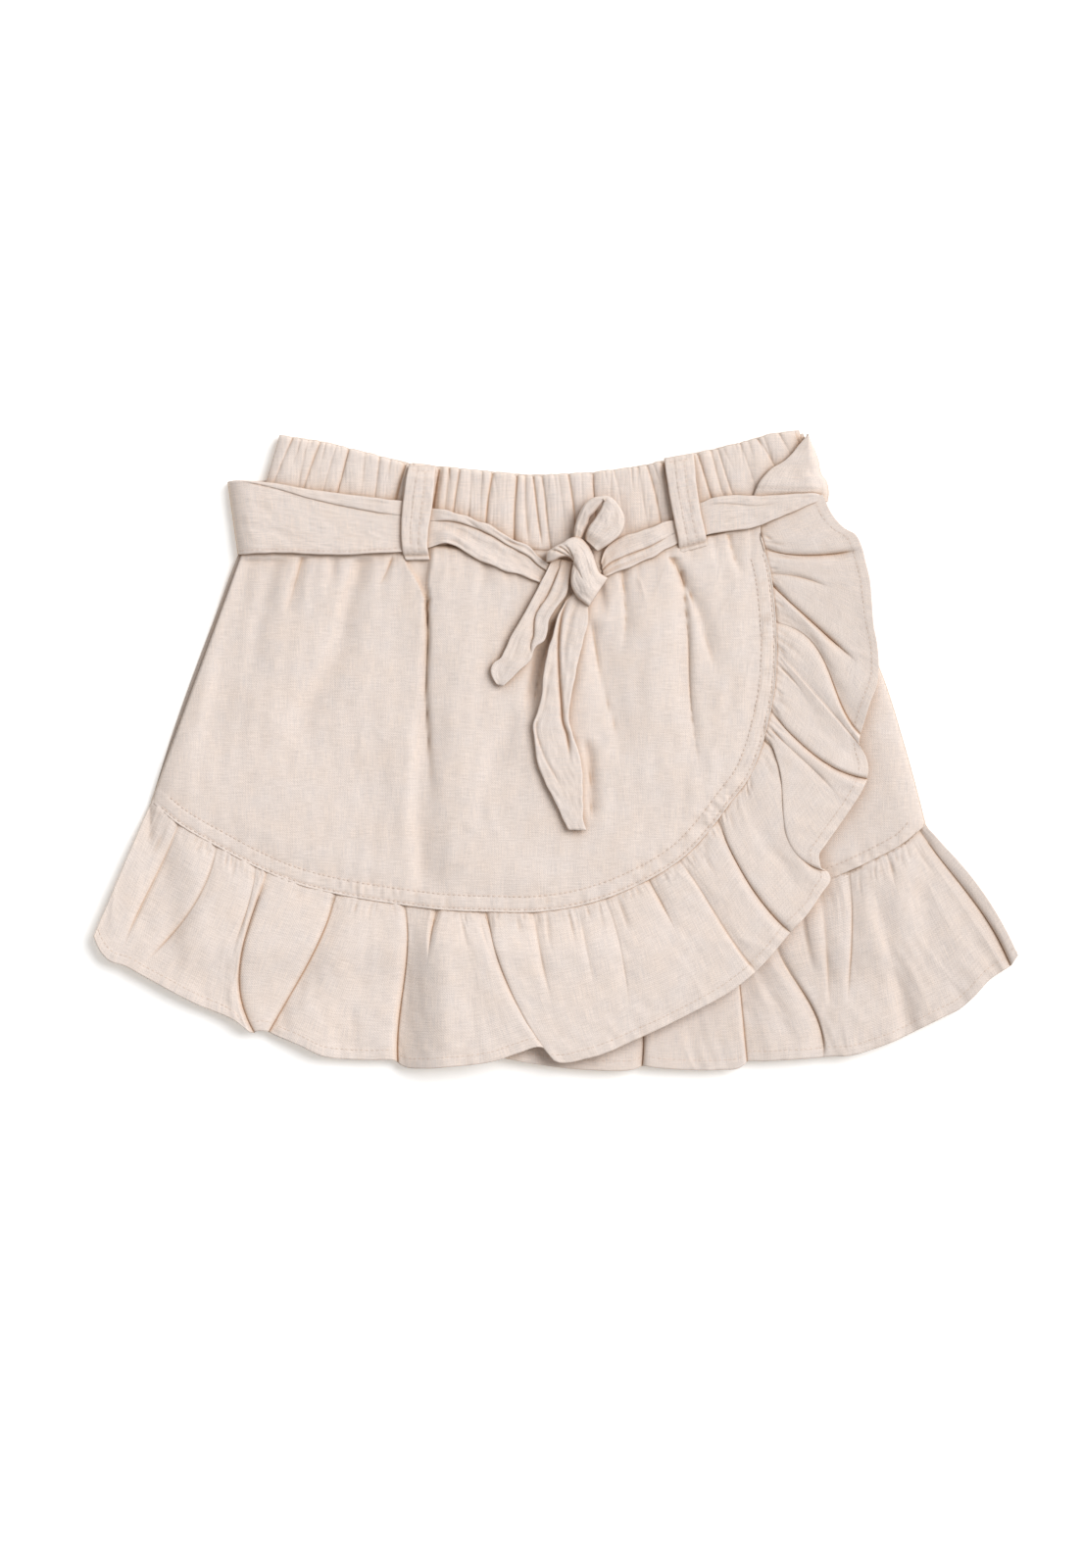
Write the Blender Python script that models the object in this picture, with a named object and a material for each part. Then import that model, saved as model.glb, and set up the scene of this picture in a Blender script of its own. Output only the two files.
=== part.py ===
"""A girl's linen skort, laid flat on its back.

The front is a wrap: an outer panel with a rounded edge lies over an inner one, and each ends in a
gathered ruffle. Behind them lie the two legs of the shorts, and the back of the skirt with its own
ruffle. A gathered waistband carries four belt loops, and a tie belt goes round it, knotted in front.

+Z is up, away from the table. +Y points from the hem to the waist, and +X to the wearer's left.
Tables and lengths are in millimetres, and each point is scaled to metres as it is placed.
"""

import math

import bmesh
import bpy
import numpy as np

MM = 0.001

# ---------------------------------------------------------------- driving dimensions, millimetres
CLOTH = 1.0  # wall of one layer of cloth
BAND = 2.0  # wall of the waistband, a doubled casing with its elastic
SEAM_GAP = 0.3  # between two pieces that are sewn together, and between two layers
LOOP_WIDTH = 13.6  # belt loop
SIDE_ROLL = 14.0  # a front layer turns down to the back over this width at the side seam
WAIST_RISE = 40.0  # the layers rise to the waistband over this length
RUFFLE_RISE = 18.0  # the wrap's ruffle climbs over the inner one over this length

# How high the underside of each layer is: where it lies flat, and at the waist seam.
FLAT_LOW = {"back": 0.0, "shorts_back": 2.7, "shorts_front": 4.0, "inner": 5.3, "wrap": 7.5}
WAIST_LOW = {"back": 2.6, "shorts_back": 3.9, "shorts_front": 5.2, "inner": 6.5, "wrap": 7.8}
BAND_BACK_LOW = 2.6
BAND_FRONT_LOW = 5.5
BELT_BACK_LOW = 1.3
BELT_LOW = 9.1
LOOP_LIFT = 1.8  # how far a loop stands above its sewn ends
TAIL_LOW = 10.8
HEM_LOW = 2.6  # a front hem above the table, over the back ruffle
SEAM_LOW = 6.9  # the wrap's ruffle at its seam, where the inner panel lies under it
WRAP_HEM_LOW = 10.4  # the wrap's hem where the inner ruffle lies under it

# ---------------------------------------------------------------- outlines, as x, y in plan
WAIST_TOP = [
    (-135, 154), (-114, 151), (-94, 146), (-73, 141), (-47, 138), (-13, 135),
    (16, 136), (40, 139), (66, 145), (88, 150), (107, 155), (119, 156.5),
]
WAIST_SEAM = [
    (-146, 116), (-109, 108), (-66, 101), (-32, 98), (-6, 97), (25, 98), (59, 102), (93, 109), (130, 121),
]
LEFT_SIDE = [(-146, 116), (-156, 94), (-165, 70), (-176, 41), (-188, 7), (-198, -25)]
RIGHT_SIDE = [(130, 121), (145, 84), (156, 47), (162, 31), (170, 5), (178, -24), (181, -36)]
WRAP_SEAM = [
    (-198, -25), (-186, -35), (-164, -48), (-147, -57), (-128, -65), (-109, -70), (-80, -75), (-56, -78),
    (-32, -79), (-8, -79), (16, -75), (40, -66), (64, -51), (76, -38), (85, -26), (94, -14), (100, 0),
    (104, 15), (107, 31), (108, 51), (107, 70), (104, 91), (100, 103),
]
WRAP_HEM = [
    (-225.6, -91), (-223.7, -96), (-218, -103), (-210.5, -105.5), (-204, -109), (-190.5, -116.5),
    (-176, -124), (-157, -132), (-147, -138), (-143, -137), (-137, -139.5), (-127, -143.5), (-114, -149.5),
    (-103, -151), (-90, -151.5), (-78.5, -152), (-75, -154.3), (-63.5, -155.3), (-51.5, -154.3),
    (-42, -153.5), (-30, -151.5), (-18, -147.5), (-6.5, -144.7), (-3, -146.2), (2, -151.4), (16, -150),
    (40, -140.5), (64, -129), (88, -115.5), (104.5, -100.5), (111.5, -92), (115, -88), (121.5, -81),
    (129, -70.5), (134, -62.5), (130.6, -56), (128.6, -51), (131.5, -46.3), (138, -37), (145.5, -26),
    (150, -18.5), (153, -9), (151, -3), (147.5, 2.5), (149.5, 10.5), (153.6, 24), (156.5, 31.5), (157.4, 41),
    (156.5, 52), (155, 60), (154, 72), (153, 83), (151, 91.5), (149.3, 98.5), (146, 105), (140.6, 108.2),
    (135, 114.5), (131.5, 120.2),
]
INNER_SEAM = [
    (-47, -83), (-23, -86), (16, -87), (64, -83), (102, -75), (124, -68), (136, -65), (150, -59),
    (162, -53), (172, -47), (181, -37),
]
INNER_HEM = [
    (-46.6, -146), (-32, -149), (-18, -152), (-6, -154), (4, -155.3), (16, -156.2), (28, -156.6),
    (39, -155.8), (42.7, -154.3), (50.5, -155.3), (64, -156.2), (80.5, -156.2), (89, -155.3), (92.6, -152.5),
    (102, -152), (112, -151.4), (126, -150.5), (136, -149.5), (142, -149.5), (155, -146), (167, -141.5),
    (179, -135.6), (188.6, -130.8), (197.3, -126.5), (204, -120.7), (212.6, -111.6), (218.4, -107.8),
    (222.7, -105), (226, -100),
]
BACK_SEAM = [(-198, -25), (-128, -62), (-60, -76), (0, -80), (60, -76), (130, -62), (181, -36)]
BACK_HEM = [
    (-224, -91), (-200, -105), (-169, -123), (-146, -133), (-109, -144), (-75, -148), (-42, -147),
    (-13, -144), (16, -145), (64, -148), (112, -146), (143, -144), (174, -131), (201, -118), (215, -109),
    (226, -99),
]

# ---------------------------------------------------------------- folds
# Ruffles: a row for each valley between two folds. seam and hem are shares of the two edges' lengths, and
# bow_up and bow_down bend the line to the right a third and two thirds of the way down. depth is the
# valley's, left and right its reach to either side, and it runs from share start of the ruffle's depth to
# share end.
RUFFLE_PUFF = 4.4  # how far the cloth between the valleys stands up
RUFFLE_COLUMNS = ("seam", "hem", "bow_up", "bow_down", "depth", "left", "right", "start", "end")
WRAP_RUFFLE = [
    (0.000, 0.000, 0.0, 0.0, 0.0, 2, 2, 0.0, 1.0),
    (0.038, 0.030, 0.0, -1.0, 3.0, 3, 8, 0.0, 1.0),
    (0.085, 0.045, 6.0, 5.0, 2.4, 2, 4, 0.0, 1.0),
    (0.132, 0.118, 1.0, -1.0, 1.6, 3, 3, 0.0, 0.6),
    (0.145, 0.151, -6.5, -9.5, 2.8, 2, 2, 0.0, 1.0),
    (0.222, 0.162, 2.5, 1.5, 4.0, 1.5, 7, 0.0, 1.0),
    (0.270, 0.227, 0.0, -2.0, 1.4, 8, 8, 0.0, 1.0),
    (0.297, 0.268, 2.0, 0.0, 4.4, 2.5, 13, 0.0, 1.0),
    (0.331, 0.291, -2.5, -2.0, 2.6, 4, 4, 0.0, 0.5),
    (0.357, 0.327, 2.5, 2.0, 1.0, 6, 6, 0.0, 1.0),
    (0.384, 0.396, -4.0, -4.5, 4.4, 5, 2, 0.0, 1.0),
    (0.434, 0.421, -3.5, -5.0, 1.8, 2, 4, 0.0, 0.7),
    (0.482, 0.442, 0.0, 0.0, 1.2, 2, 2, 0.0, 0.3),
    (0.513, 0.463, 2.5, 2.0, 2.0, 3, 5, 0.0, 1.0),
    (0.563, 0.517, 6.5, 5.5, 2.6, 2, 3, 0.0, 0.6),
    (0.602, 0.574, 0.0, -1.0, 2.0, 2, 4, 0.0, 0.9),
    (0.661, 0.615, -3.0, -3.5, 4.2, 4, 2, 0.0, 1.0),
    (0.707, 0.639, -4.5, -1.0, 1.2, 3, 5, 0.0, 0.6),
    (0.760, 0.675, 0.5, -9.0, 4.4, 7, 2, 0.0, 1.0),
    (0.777, 0.730, 0.5, 1.5, 1.0, 2, 2, 0.1, 0.6),
    (0.792, 0.760, -4.0, -5.0, 4.4, 3, 2, 0.0, 1.0),
    (0.833, 0.778, 0.0, -4.5, 2.2, 8, 8, 0.1, 1.0),
    (0.857, 0.788, 0.0, 0.5, 1.4, 2, 3, 0.0, 1.0),
    (0.887, 0.797, 8.0, 2.5, 3.0, 2, 8, 0.0, 1.0),
    (0.933, 0.844, 0.5, 1.0, 4.4, 3, 2, 0.0, 0.9),
    (0.947, 0.906, 3.0, 2.0, 2.0, 2, 2, 0.0, 0.3),
    (0.974, 0.952, -2.5, -2.0, 4.2, 3, 2, 0.0, 0.95),
    (1.000, 1.000, 1.0, 0.5, 0.0, 2, 2, 0.0, 1.0),
]
INNER_RUFFLE = [
    (0.000, 0.000, 0.0, 0.0, 0.0, 2, 2, 0.0, 1.0),
    (0.131, 0.127, 0.0, 0.0, 1.6, 8, 8, 0.0, 1.0),
    (0.339, 0.311, 2.0, 3.0, 3.2, 4, 2, 0.2, 1.0),
    (0.465, 0.399, 0.5, 0.5, 1.0, 5, 5, 0.0, 1.0),
    (0.580, 0.489, 0.0, 0.0, 2.8, 2, 8, 0.0, 1.0),
    (0.676, 0.632, -12.0, -5.0, 2.8, 5, 2, 0.0, 1.0),
    (0.712, 0.650, 0.5, -4.0, 3.2, 2, 6, 0.0, 1.0),
    (0.750, 0.676, 2.0, 0.0, 1.8, 4, 4, 0.0, 1.0),
    (0.799, 0.705, 0.0, -7.5, 2.6, 2, 5, 0.0, 1.0),
    (0.863, 0.746, 0.0, -3.5, 3.2, 3, 8, 0.0, 1.0),
    (0.891, 0.852, -5.5, -1.0, 2.0, 2, 3, 0.0, 0.8),
    (0.935, 0.885, -4.5, -4.0, 1.6, 4, 6, 0.0, 1.0),
    (0.965, 0.950, 0.0, 0.0, 1.8, 5, 5, 0.0, 1.0),
    (0.984, 0.984, 0.0, 0.0, 2.2, 3, 2, 0.0, 0.9),
    (1.000, 1.000, 4.0, 4.0, 0.0, 2, 2, 0.0, 1.0),
]
BACK_RUFFLE_WAVES = 22
BACK_RUFFLE_RIDGE = 1.1

# Wrap panel: a fold runs through three plan points, and its ridge fades in and out at its ends.
PANEL_COLUMNS = ("x0", "y0", "x1", "y1", "x2", "y2", "height", "left", "right")
WRAP_FOLDS = [
    (-162, 74, -176, 34, -189, -6, 1.2, 4, 6),
    (-142, 92, -157, 40, -169, -20, 3.2, 8, 14),
    (-123, 94, -132, 60, -141, 20, 2.4, 2, 12),
    (-90, 94, -104, 46, -122, -24, 2.2, 7, 15),
    (-80, 94, -84, 84, -89, 74, 1.4, 2, 8),
    (-68, 90, -68, 30, -66, -34, 3.0, 15, 3),
    (-57, 90, -57, 20, -48, -64, 3.0, 3, 14),
    (-30, 84, -34, 62, -38, 40, 1.4, 8, 8),
    (-37, 0, -39, -24, -42, -50, 1.3, 8, 8),
    (-18, 24, -26, 2, -33, -22, 1.0, 3, 8),
    (18, 60, 23, 34, 31, 2, 1.8, 7, 3),
    (31, 88, 34, 60, 30, 34, 1.2, 4, 3),
    (45, 84, 47, 50, 48, 10, 1.0, 9, 9),
    (59, 88, 63, 55, 69, -6, 2.4, 12, 3),
    (60, 92, 72, 60, 83, 26, 3.0, 2, 11),
    (86, 97, 91, 84, 96, 66, 1.3, 2, 7),
]

# Waistband: where each valley between two gathers meets the top edge, how far it leans to +X on the way
# down, and how deep it is.
GATHER_COLUMNS = ("x", "lean", "depth")
FRONT_GATHERS = [
    (-128.5, -4, 0.7), (-121, 2, 0.5), (-115, -3, 0.8), (-107, -1.5, 0.5), (-101, -3, 0.9), (-93, 1, 0.4),
    (-86, 1, 0.8), (-80.5, 1, 0.4), (-73.5, -2, 1.0), (-58.5, -2, 1.0), (-52, -1, 0.6), (-47, -3, 0.8),
    (-41.5, -1.5, 0.5), (-36, 0, 0.3), (-29, -3, 0.8), (-18, -2, 0.8), (-15, 1, 0.5), (-10, 3, 0.9),
    (-6.5, 2, 0.8), (1, 1, 0.3), (6, 2, 0.6), (12.5, 0, 0.3), (19, -1.5, 0.9), (30, 0, 0.3), (40, 0, 0.3),
    (44.5, 1, 0.7), (53, 1.5, 1.0), (69, 2, 1.0), (75.5, 1.5, 0.7), (79, 3, 0.8), (90, 2, 0.4),
    (98.5, 6, 0.8), (109, 4, 0.5),
]
BACK_GATHER_PITCH = 8.4  # mean spacing of the gathers behind, where the photograph doesn't reach
BACK_GATHER_DEPTH = 0.5
GATHER_HALF = 1.6  # half the width of a valley at its lips
RIM_DIP = 0.9  # how far the top edge dips for each millimetre of a gather's depth
BAND_ROLL = 8.0  # width of the band's turned ends

# ---------------------------------------------------------------- belt, as the two edges of each stretch
BELT_ROLL = 12.0  # the belt turns round the right side over this width
BELT_END_ROLL = 7.0  # and round the left side
# upper and lower are the stretch's two edges, left to right or from the knot outwards.
BELT_LEFT = {
    "upper": [(-160.5, 131), (-152, 132), (-140, 131), (-118, 127), (-95, 124), (-75, 121.5), (-69, 121)],
    "lower": [(-155.5, 95.5), (-133, 96), (-104, 95), (-85, 96), (-75, 96.5), (-69, 97)],
}
BELT_INNER_LEFT = {
    "upper": [(-68.5, 121), (-61, 118.5), (-51, 118), (-37, 111.5), (-23, 104.5), (-13, 97.5), (-7, 92)],
    "lower": [(-68.5, 97), (-61, 97.5), (-56, 100), (-49, 99.5), (-37, 94), (-23, 87.5), (-9, 81.5)],
}
BELT_INNER_RIGHT = {
    "upper": [(25, 92.5), (28, 101.5), (35, 105), (45, 108), (56, 112), (64, 114)],
    "lower": [(25, 84.5), (35, 88), (47, 94), (59, 100.5), (64, 103.5)],
}
BELT_RIGHT = {
    "upper": [(64.5, 120), (71, 121.5), (88, 123), (112, 124.5), (128, 125), (133.5, 123)],
    "lower": [(64.5, 102), (74, 105), (97, 108.5), (112, 114), (129, 120.5), (133.5, 122)],
}
BELT_CORNER = {
    "upper": [(116, 156.5), (119.5, 149), (112, 142), (104, 137), (99.5, 131), (96.5, 125.5)],
    "lower": [(121.5, 156.5), (124, 153), (128, 145), (131, 135), (133, 129), (134, 126)],
}
BELT_BACK = {
    "upper": [(-160, 131), (-110, 133), (-50, 131), (0, 129), (50, 132), (90, 142), (121, 155)],
    "lower": [(-155, 96), (-110, 98), (-50, 97), (0, 96.5), (50, 99), (95, 108), (133, 126)],
}
# Ridges across a belt stretch: share across (0 upper edge, 1 lower edge) at its start and end, height,
# and reach to either side as shares of the width.
RIDGE_COLUMNS = ("across0", "across1", "height", "left", "right")
BELT_LEFT_RIDGES = [(0.30, 0.46, 1.6, 0.04, 0.35)]
BELT_INNER_LEFT_RIDGES = [(0.20, 0.25, 1.8, 0.14, 0.08), (0.72, 0.66, 2.2, 0.16, 0.20)]
BELT_INNER_RIGHT_RIDGES = [(0.30, 0.25, 1.8, 0.22, 0.10), (0.75, 0.78, 1.6, 0.10, 0.14)]
BELT_RIGHT_RIDGES = [(0.12, 0.30, 1.0, 0.06, 0.40)]
BELT_CORNER_RIDGES = [(0.50, 0.50, 0.6, 0.30, 0.30)]

TAIL_LEFT = {
    "upper": [(-3, 94), (-8, 84), (-15, 72), (-22, 60), (-27, 48), (-31.5, 44), (-31.5, 37), (-29, 32.5)],
    "lower": [(7.5, 92), (7.5, 86), (3.5, 78), (-2.5, 69), (-6, 58), (-10, 51), (-14, 42), (-25, 31.5)],
}
TAIL_RIGHT = {
    "upper": [(8.5, 77), (2, 68), (-2.5, 55), (-5.5, 38), (-7, 22), (-11, 12), (-9.5, -4), (-3, -20), (5, -38)],
    "lower": [(17, 72), (16, 56), (11, 37), (9, 24), (9, 14), (12, 0), (13.5, -16), (14, -28), (14.5, -39)],
}
TAIL_LEFT_RIDGES = [(0.30, 0.50, 2.4, 0.25, 0.25), (0.80, 0.85, 1.0, 0.12, 0.15)]
TAIL_RIGHT_RIDGES = [(0.20, 0.20, 2.0, 0.15, 0.20), (0.75, 0.85, 2.4, 0.20, 0.12)]

# Belt loops: middle of the top and bottom ends in plan.
FRONT_LOOPS = {
    "belt_loop_front_right": ((-65, 140.5), (-67, 93)),
    "belt_loop_front_left": ((60, 144.5), (67, 97.5)),
}
BACK_LOOPS = {"belt_loop_back_right": ((-62, 139), (-65, 92)), "belt_loop_back_left": ((58, 141), (62, 95))}

# Knot: the belt comes over from the left and folds down to the right. Its outer and inner edges from the
# pinched left end to the lower right fold, its underside, its thickness at the edges, and what the middle
# gains.
KNOT = {
    "upper": [
        (-4.6, 96.2), (-1.9, 98.4), (0.5, 100.1), (3.4, 101.3), (6.2, 103.0), (9.6, 103.7), (13.0, 102.5),
        (16.3, 99.1), (18.2, 95.3), (19.7, 90.5), (21.4, 86.6), (25.4, 83.8),
    ],
    "lower": [
        (-4.6, 91.4), (-1.0, 92.1), (2.6, 93.6), (6.2, 93.8), (8.6, 91.2), (8.0, 89.0), (7.4, 85.4),
        (7.4, 80.1), (10.4, 74.6), (16.1, 69.8),
    ],
}
KNOT_LOW = 12.5
KNOT_EDGE = 2.4
KNOT_CROWN = 3.8

# The one bow: outer and inner edges of its ribbon from the knot, over the turn at its top and back. Its
# underside, what it climbs on the way, and its arch across.
BOW = {
    "upper": [
        (8.8, 104.3), (9.6, 110.6), (11.5, 115.4), (14.4, 120.2), (17.8, 122.6), (21, 123.4), (25.4, 123.6),
        (30.7, 119.3), (33.6, 113), (33.1, 108.2), (31.2, 104.4), (26.4, 100.6), (20.8, 96.6),
    ],
    "lower": [
        (13.2, 103.6), (14.4, 106.8), (15.8, 110.2), (16.3, 113), (18.7, 115.4), (21.1, 118.4), (22.8, 121.6),
        (21.8, 117.8), (18.9, 113), (16.6, 109.2), (15.6, 106.2), (15.6, 104.0), (16.4, 101.4),
    ],
}
BOW_LOW = 12.2
BOW_CLIMB = (2.2, 1.0)
BOW_ARCH = 1.8

# ---------------------------------------------------------------- shorts
SHORTS_INSET = 17.0  # the side seams of the shorts lie this far inside the skirt's
CROTCH = (8.0, -30.0)
LEG_HEM_Y = -92.0
LEG_PARTING = 16.0  # from the middle to each leg's hem

LINEN_COLOUR = (0.76, 0.66, 0.57)
LINEN_ROUGHNESS = 0.92


# ---------------------------------------------------------------- curves
def smooth_path(points, per_span=16):
    """Points along the smooth curve through the given ones, and the length reached at each."""
    points = np.array(points, float)
    knots = np.concatenate([[0.0], np.cumsum(np.linalg.norm(np.diff(points[:, :2], axis=0), axis=1))])
    slopes = np.gradient(points, knots, axis=0)
    path = []
    for k in range(len(points) - 1):
        span = knots[k + 1] - knots[k]
        t = np.arange(per_span)[:, None] / per_span
        path.append(
            (2 * t**3 - 3 * t**2 + 1) * points[k]
            + (t**3 - 2 * t**2 + t) * span * slopes[k]
            + (3 * t**2 - 2 * t**3) * points[k + 1]
            + (t**3 - t**2) * span * slopes[k + 1]
        )
    path = np.concatenate([*path, points[-1:]])
    lengths = np.concatenate([[0.0], np.cumsum(np.linalg.norm(np.diff(path[:, :2], axis=0), axis=1))])
    return path, lengths


def curve(points):
    """A function that gives the curve's point at each share of its length."""
    path, lengths = smooth_path(points)
    shares = lengths / lengths[-1]

    def at(share):
        return np.stack([np.interp(share, shares, path[:, k]) for k in range(path.shape[1])], axis=-1)

    at.length = lengths[-1]
    return at


def x_of_y(points):
    """x on an edge that runs down the garment, as a function of y."""
    path, _ = smooth_path(points)
    order = np.argsort(path[:, 1])
    return lambda y: np.interp(y, path[order, 1], path[order, 0])


def y_of_x(points):
    """y on an edge that runs across the garment, as a function of x."""
    path, _ = smooth_path(points)
    order = np.argsort(path[:, 0])
    return lambda x: np.interp(x, path[order, 0], path[order, 1])


def ease(share):
    """0 to 1, smooth at both ends."""
    share = np.clip(share, 0.0, 1.0)
    return share * share * (3 - 2 * share)


def roll(distance, width=SIDE_ROLL):
    """0 at a folded edge, rising like a quarter circle to 1 at width from it."""
    inward = 1 - np.clip(distance / width, 0.0, 1.0)
    return np.sqrt(np.clip(1 - inward**2, 0.0, 1.0))


def bump(distance, left, right):
    """A ridge 1 high, with its own reach to the left and to the right."""
    return np.exp(-((distance / np.where(distance < 0, left, right)) ** 2))


def rows_of(table, columns):
    return [dict(zip(columns, row)) for row in table]


left_x, right_x = x_of_y(LEFT_SIDE), x_of_y(RIGHT_SIDE)
waist_y = y_of_x(WAIST_SEAM)
belt_back_y = y_of_x(BELT_BACK["lower"])


def under_waist(x0, x1):
    """The top edge of a piece sewn to the waistband, from x0 to x1."""
    return curve([(x, float(waist_y(x)) - SEAM_GAP) for x in np.linspace(x0, x1, 12)])


# ---------------------------------------------------------------- how high the layers lie
def waist_share(x, y):
    """1 at the waist seam and over the belt behind it, falling to 0 where the layers lie flat."""
    foot = np.minimum(waist_y(x), belt_back_y(x)) - 1.0
    return ease(1 - (foot - y) / WAIST_RISE)


def over_shorts(x, y):
    """1 where a front ruffle lies on the legs of the shorts, 0 clear of them."""
    return ease((y - LEG_HEM_Y + 24) / 22) * ease((x + 192) / 18) * ease((183 - x) / 18)


def layer_low(name, x, y):
    return FLAT_LOW[name] + (WAIST_LOW[name] - FLAT_LOW[name]) * waist_share(x, y)


def side_low(x, y):
    """The underside of a front layer where it meets the back at a side seam."""
    return layer_low("back", x, y) + CLOTH + SEAM_GAP


def over_inner(x):
    """0 where the wrap lies straight on the shorts, 1 where the inner panel is under it."""
    return ease((x + 78.0) / 26.0)


def panel_relief(x, y):
    """The folds of the wrap panel: the higher of two ridges counts where they meet."""
    relief = np.zeros_like(x)
    for fold in rows_of(WRAP_FOLDS, PANEL_COLUMNS):
        ys = [fold["y2"], fold["y1"], fold["y0"]]
        xs = [fold["x2"], fold["x1"], fold["x0"]]
        bend = np.polyfit(ys, xs, 2)
        inside = np.clip(y, ys[0] - 14, ys[2] + 6)
        fade = ease((y - ys[0] + 14) / 26) * ease((ys[2] + 6 - y) / 12)
        ridge = fold["height"] * fade * bump(x - np.polyval(bend, inside), fold["left"], fold["right"])
        relief = np.maximum(relief, ridge)
    pressed = ease((np.minimum(waist_y(x), 97.5) - 3.0 - y) / 12)
    return relief * pressed


# ---------------------------------------------------------------- building
def linen(name):
    material = bpy.data.materials.new(name)
    material.use_nodes = True
    shader = material.node_tree.nodes["Principled BSDF"]
    shader.inputs["Base Color"].default_value = (*LINEN_COLOUR, 1)
    shader.inputs["Roughness"].default_value = LINEN_ROUGHNESS
    shader.inputs["Metallic"].default_value = 0.0
    return material


def keep(name, bm, smooth=True):
    """The finished mesh as a named object of the garment."""
    mesh = bpy.data.meshes.new(name)
    bm.to_mesh(mesh)
    bm.free()
    obj = bpy.data.objects.new(name, mesh)
    garment.objects.link(obj)
    mesh.materials.append(linen(name + "_linen"))
    if smooth:
        mesh.shade_smooth()
        mesh.set_sharp_from_angle(angle=math.radians(50))
    return obj


def cloth(name, across, down, form, wall=CLOTH):
    """A wall of cloth: a grid over the shares across and down, laid out by form, with straight-up sides.

    form takes arrays of the two shares and gives x, y and the height of the underside. wall is the
    thickness, one number or a function of the two shares.
    """
    columns, rows = len(across) - 1, len(down) - 1
    bm = bmesh.new()
    bmesh.ops.create_grid(bm, x_segments=columns, y_segments=rows, size=0.5)
    grid = np.array([v.co for v in bm.verts])
    u = np.asarray(across)[np.rint((grid[:, 0] + 0.5) * columns).astype(int)]
    v = np.asarray(down)[np.rint((0.5 - grid[:, 1]) * rows).astype(int)]
    x, y, low = form(u, v)
    thick = wall(u, v) if callable(wall) else np.full_like(low, wall)
    sheet = list(bm.verts)
    copied = bmesh.ops.extrude_face_region(bm, geom=bm.faces[:], use_keep_orig=True)
    # The copy keeps the grid's places, so each copied point is found under its original's.
    place = {tuple(np.round(co, 6)): k for k, co in enumerate(grid)}
    for point in [g for g in copied["geom"] if isinstance(g, bmesh.types.BMVert)]:
        k = place[tuple(np.round(point.co, 6))]
        point.co = (x[k] * MM, y[k] * MM, (low[k] + thick[k]) * MM)
    for k, point in enumerate(sheet):
        point.co = (x[k] * MM, y[k] * MM, low[k] * MM)
    bmesh.ops.recalc_face_normals(bm, faces=bm.faces[:])
    return keep(name, bm)


def even(count):
    return np.linspace(0.0, 1.0, count + 1)


def apart(shares, least):
    """The shares in order, without those closer than least to the one before, ending at 1."""
    kept = [0.0]
    for share in sorted(shares):
        if least <= share - kept[-1] and share <= 1 - least:
            kept.append(share)
    return np.array([*kept, 1.0])


def stations(places, half, least):
    """Shares with one at each place, and one at half to either side."""
    return apart([place + side for place in places for side in (-half, 0.0, half)], least)


def with_rolled_end(shares, width, at_start=False):
    """The shares, with more of them over the share width at one end, where an edge rolls down."""
    rolled = [width * part for part in (0.1, 0.3, 0.6, 1.0)]
    plain = [share for share in shares if width < (share if at_start else 1 - share)]
    return np.unique([0.0, 1.0, *plain, *(part if at_start else 1 - part for part in rolled)])


# ---------------------------------------------------------------- panels
def between(upper, lower, u, v):
    """The point at share v of the way from one edge to the other, at share u along both."""
    top, bottom = upper(u), lower(u)
    place = top + (bottom - top) * v[:, None]
    return place[:, 0], place[:, 1]


def make_wrap_panel():
    top_edge = under_waist(WAIST_SEAM[0][0], 100.0)
    seam = curve(WRAP_SEAM)
    upright = 0.8  # the columns from this share on end at the seam's upright stretch

    def form(u, v):
        top, bottom = top_edge(u), seam(np.interp(u, [0.0, upright, 1.0], [0.0, 0.70, 1.0]))
        x, y = (top + (bottom - top) * v[:, None]).T
        inner, wrap = layer_low("inner", x, y), layer_low("wrap", x, y)
        low = inner + (wrap - inner) * over_inner(x) + panel_relief(x, y)
        floor = side_low(x, y)
        return x, y, floor + (low - floor) * roll(x - left_x(y))

    across = with_rolled_end(even(46), SIDE_ROLL / 270, at_start=True)
    cloth("wrap_panel", across, apart([0.03, 0.07, 0.12, *even(10)], 0.03), form)


def make_inner_panel():
    top_edge = under_waist(INNER_SEAM[0][0], WAIST_SEAM[-1][0])
    seam = curve([(x, y + SEAM_GAP) for x, y in INNER_SEAM])

    def form(u, v):
        _, y = between(top_edge, seam, u, v)
        first = INNER_SEAM[0][0]
        x = first + (right_x(y) - first) * u
        y = np.minimum(y, waist_y(x) - SEAM_GAP)
        low, floor = layer_low("inner", x, y), side_low(x, y)
        return x, y, floor + (low - floor) * roll(right_x(y) - x)

    cloth("inner_panel", with_rolled_end(even(14), SIDE_ROLL / 200), even(8), form)


def make_back_panel():
    top_edge = under_waist(WAIST_SEAM[0][0], WAIST_SEAM[-1][0])
    seam = curve([(x, y + SEAM_GAP) for x, y in BACK_SEAM])

    def form(u, v):
        _, y = between(top_edge, seam, u, v)
        x = left_x(y) + (right_x(y) - left_x(y)) * u
        return x, np.minimum(y, waist_y(x) - SEAM_GAP), layer_low("back", x, y)

    cloth("back_panel", even(16), even(10), form)


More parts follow.
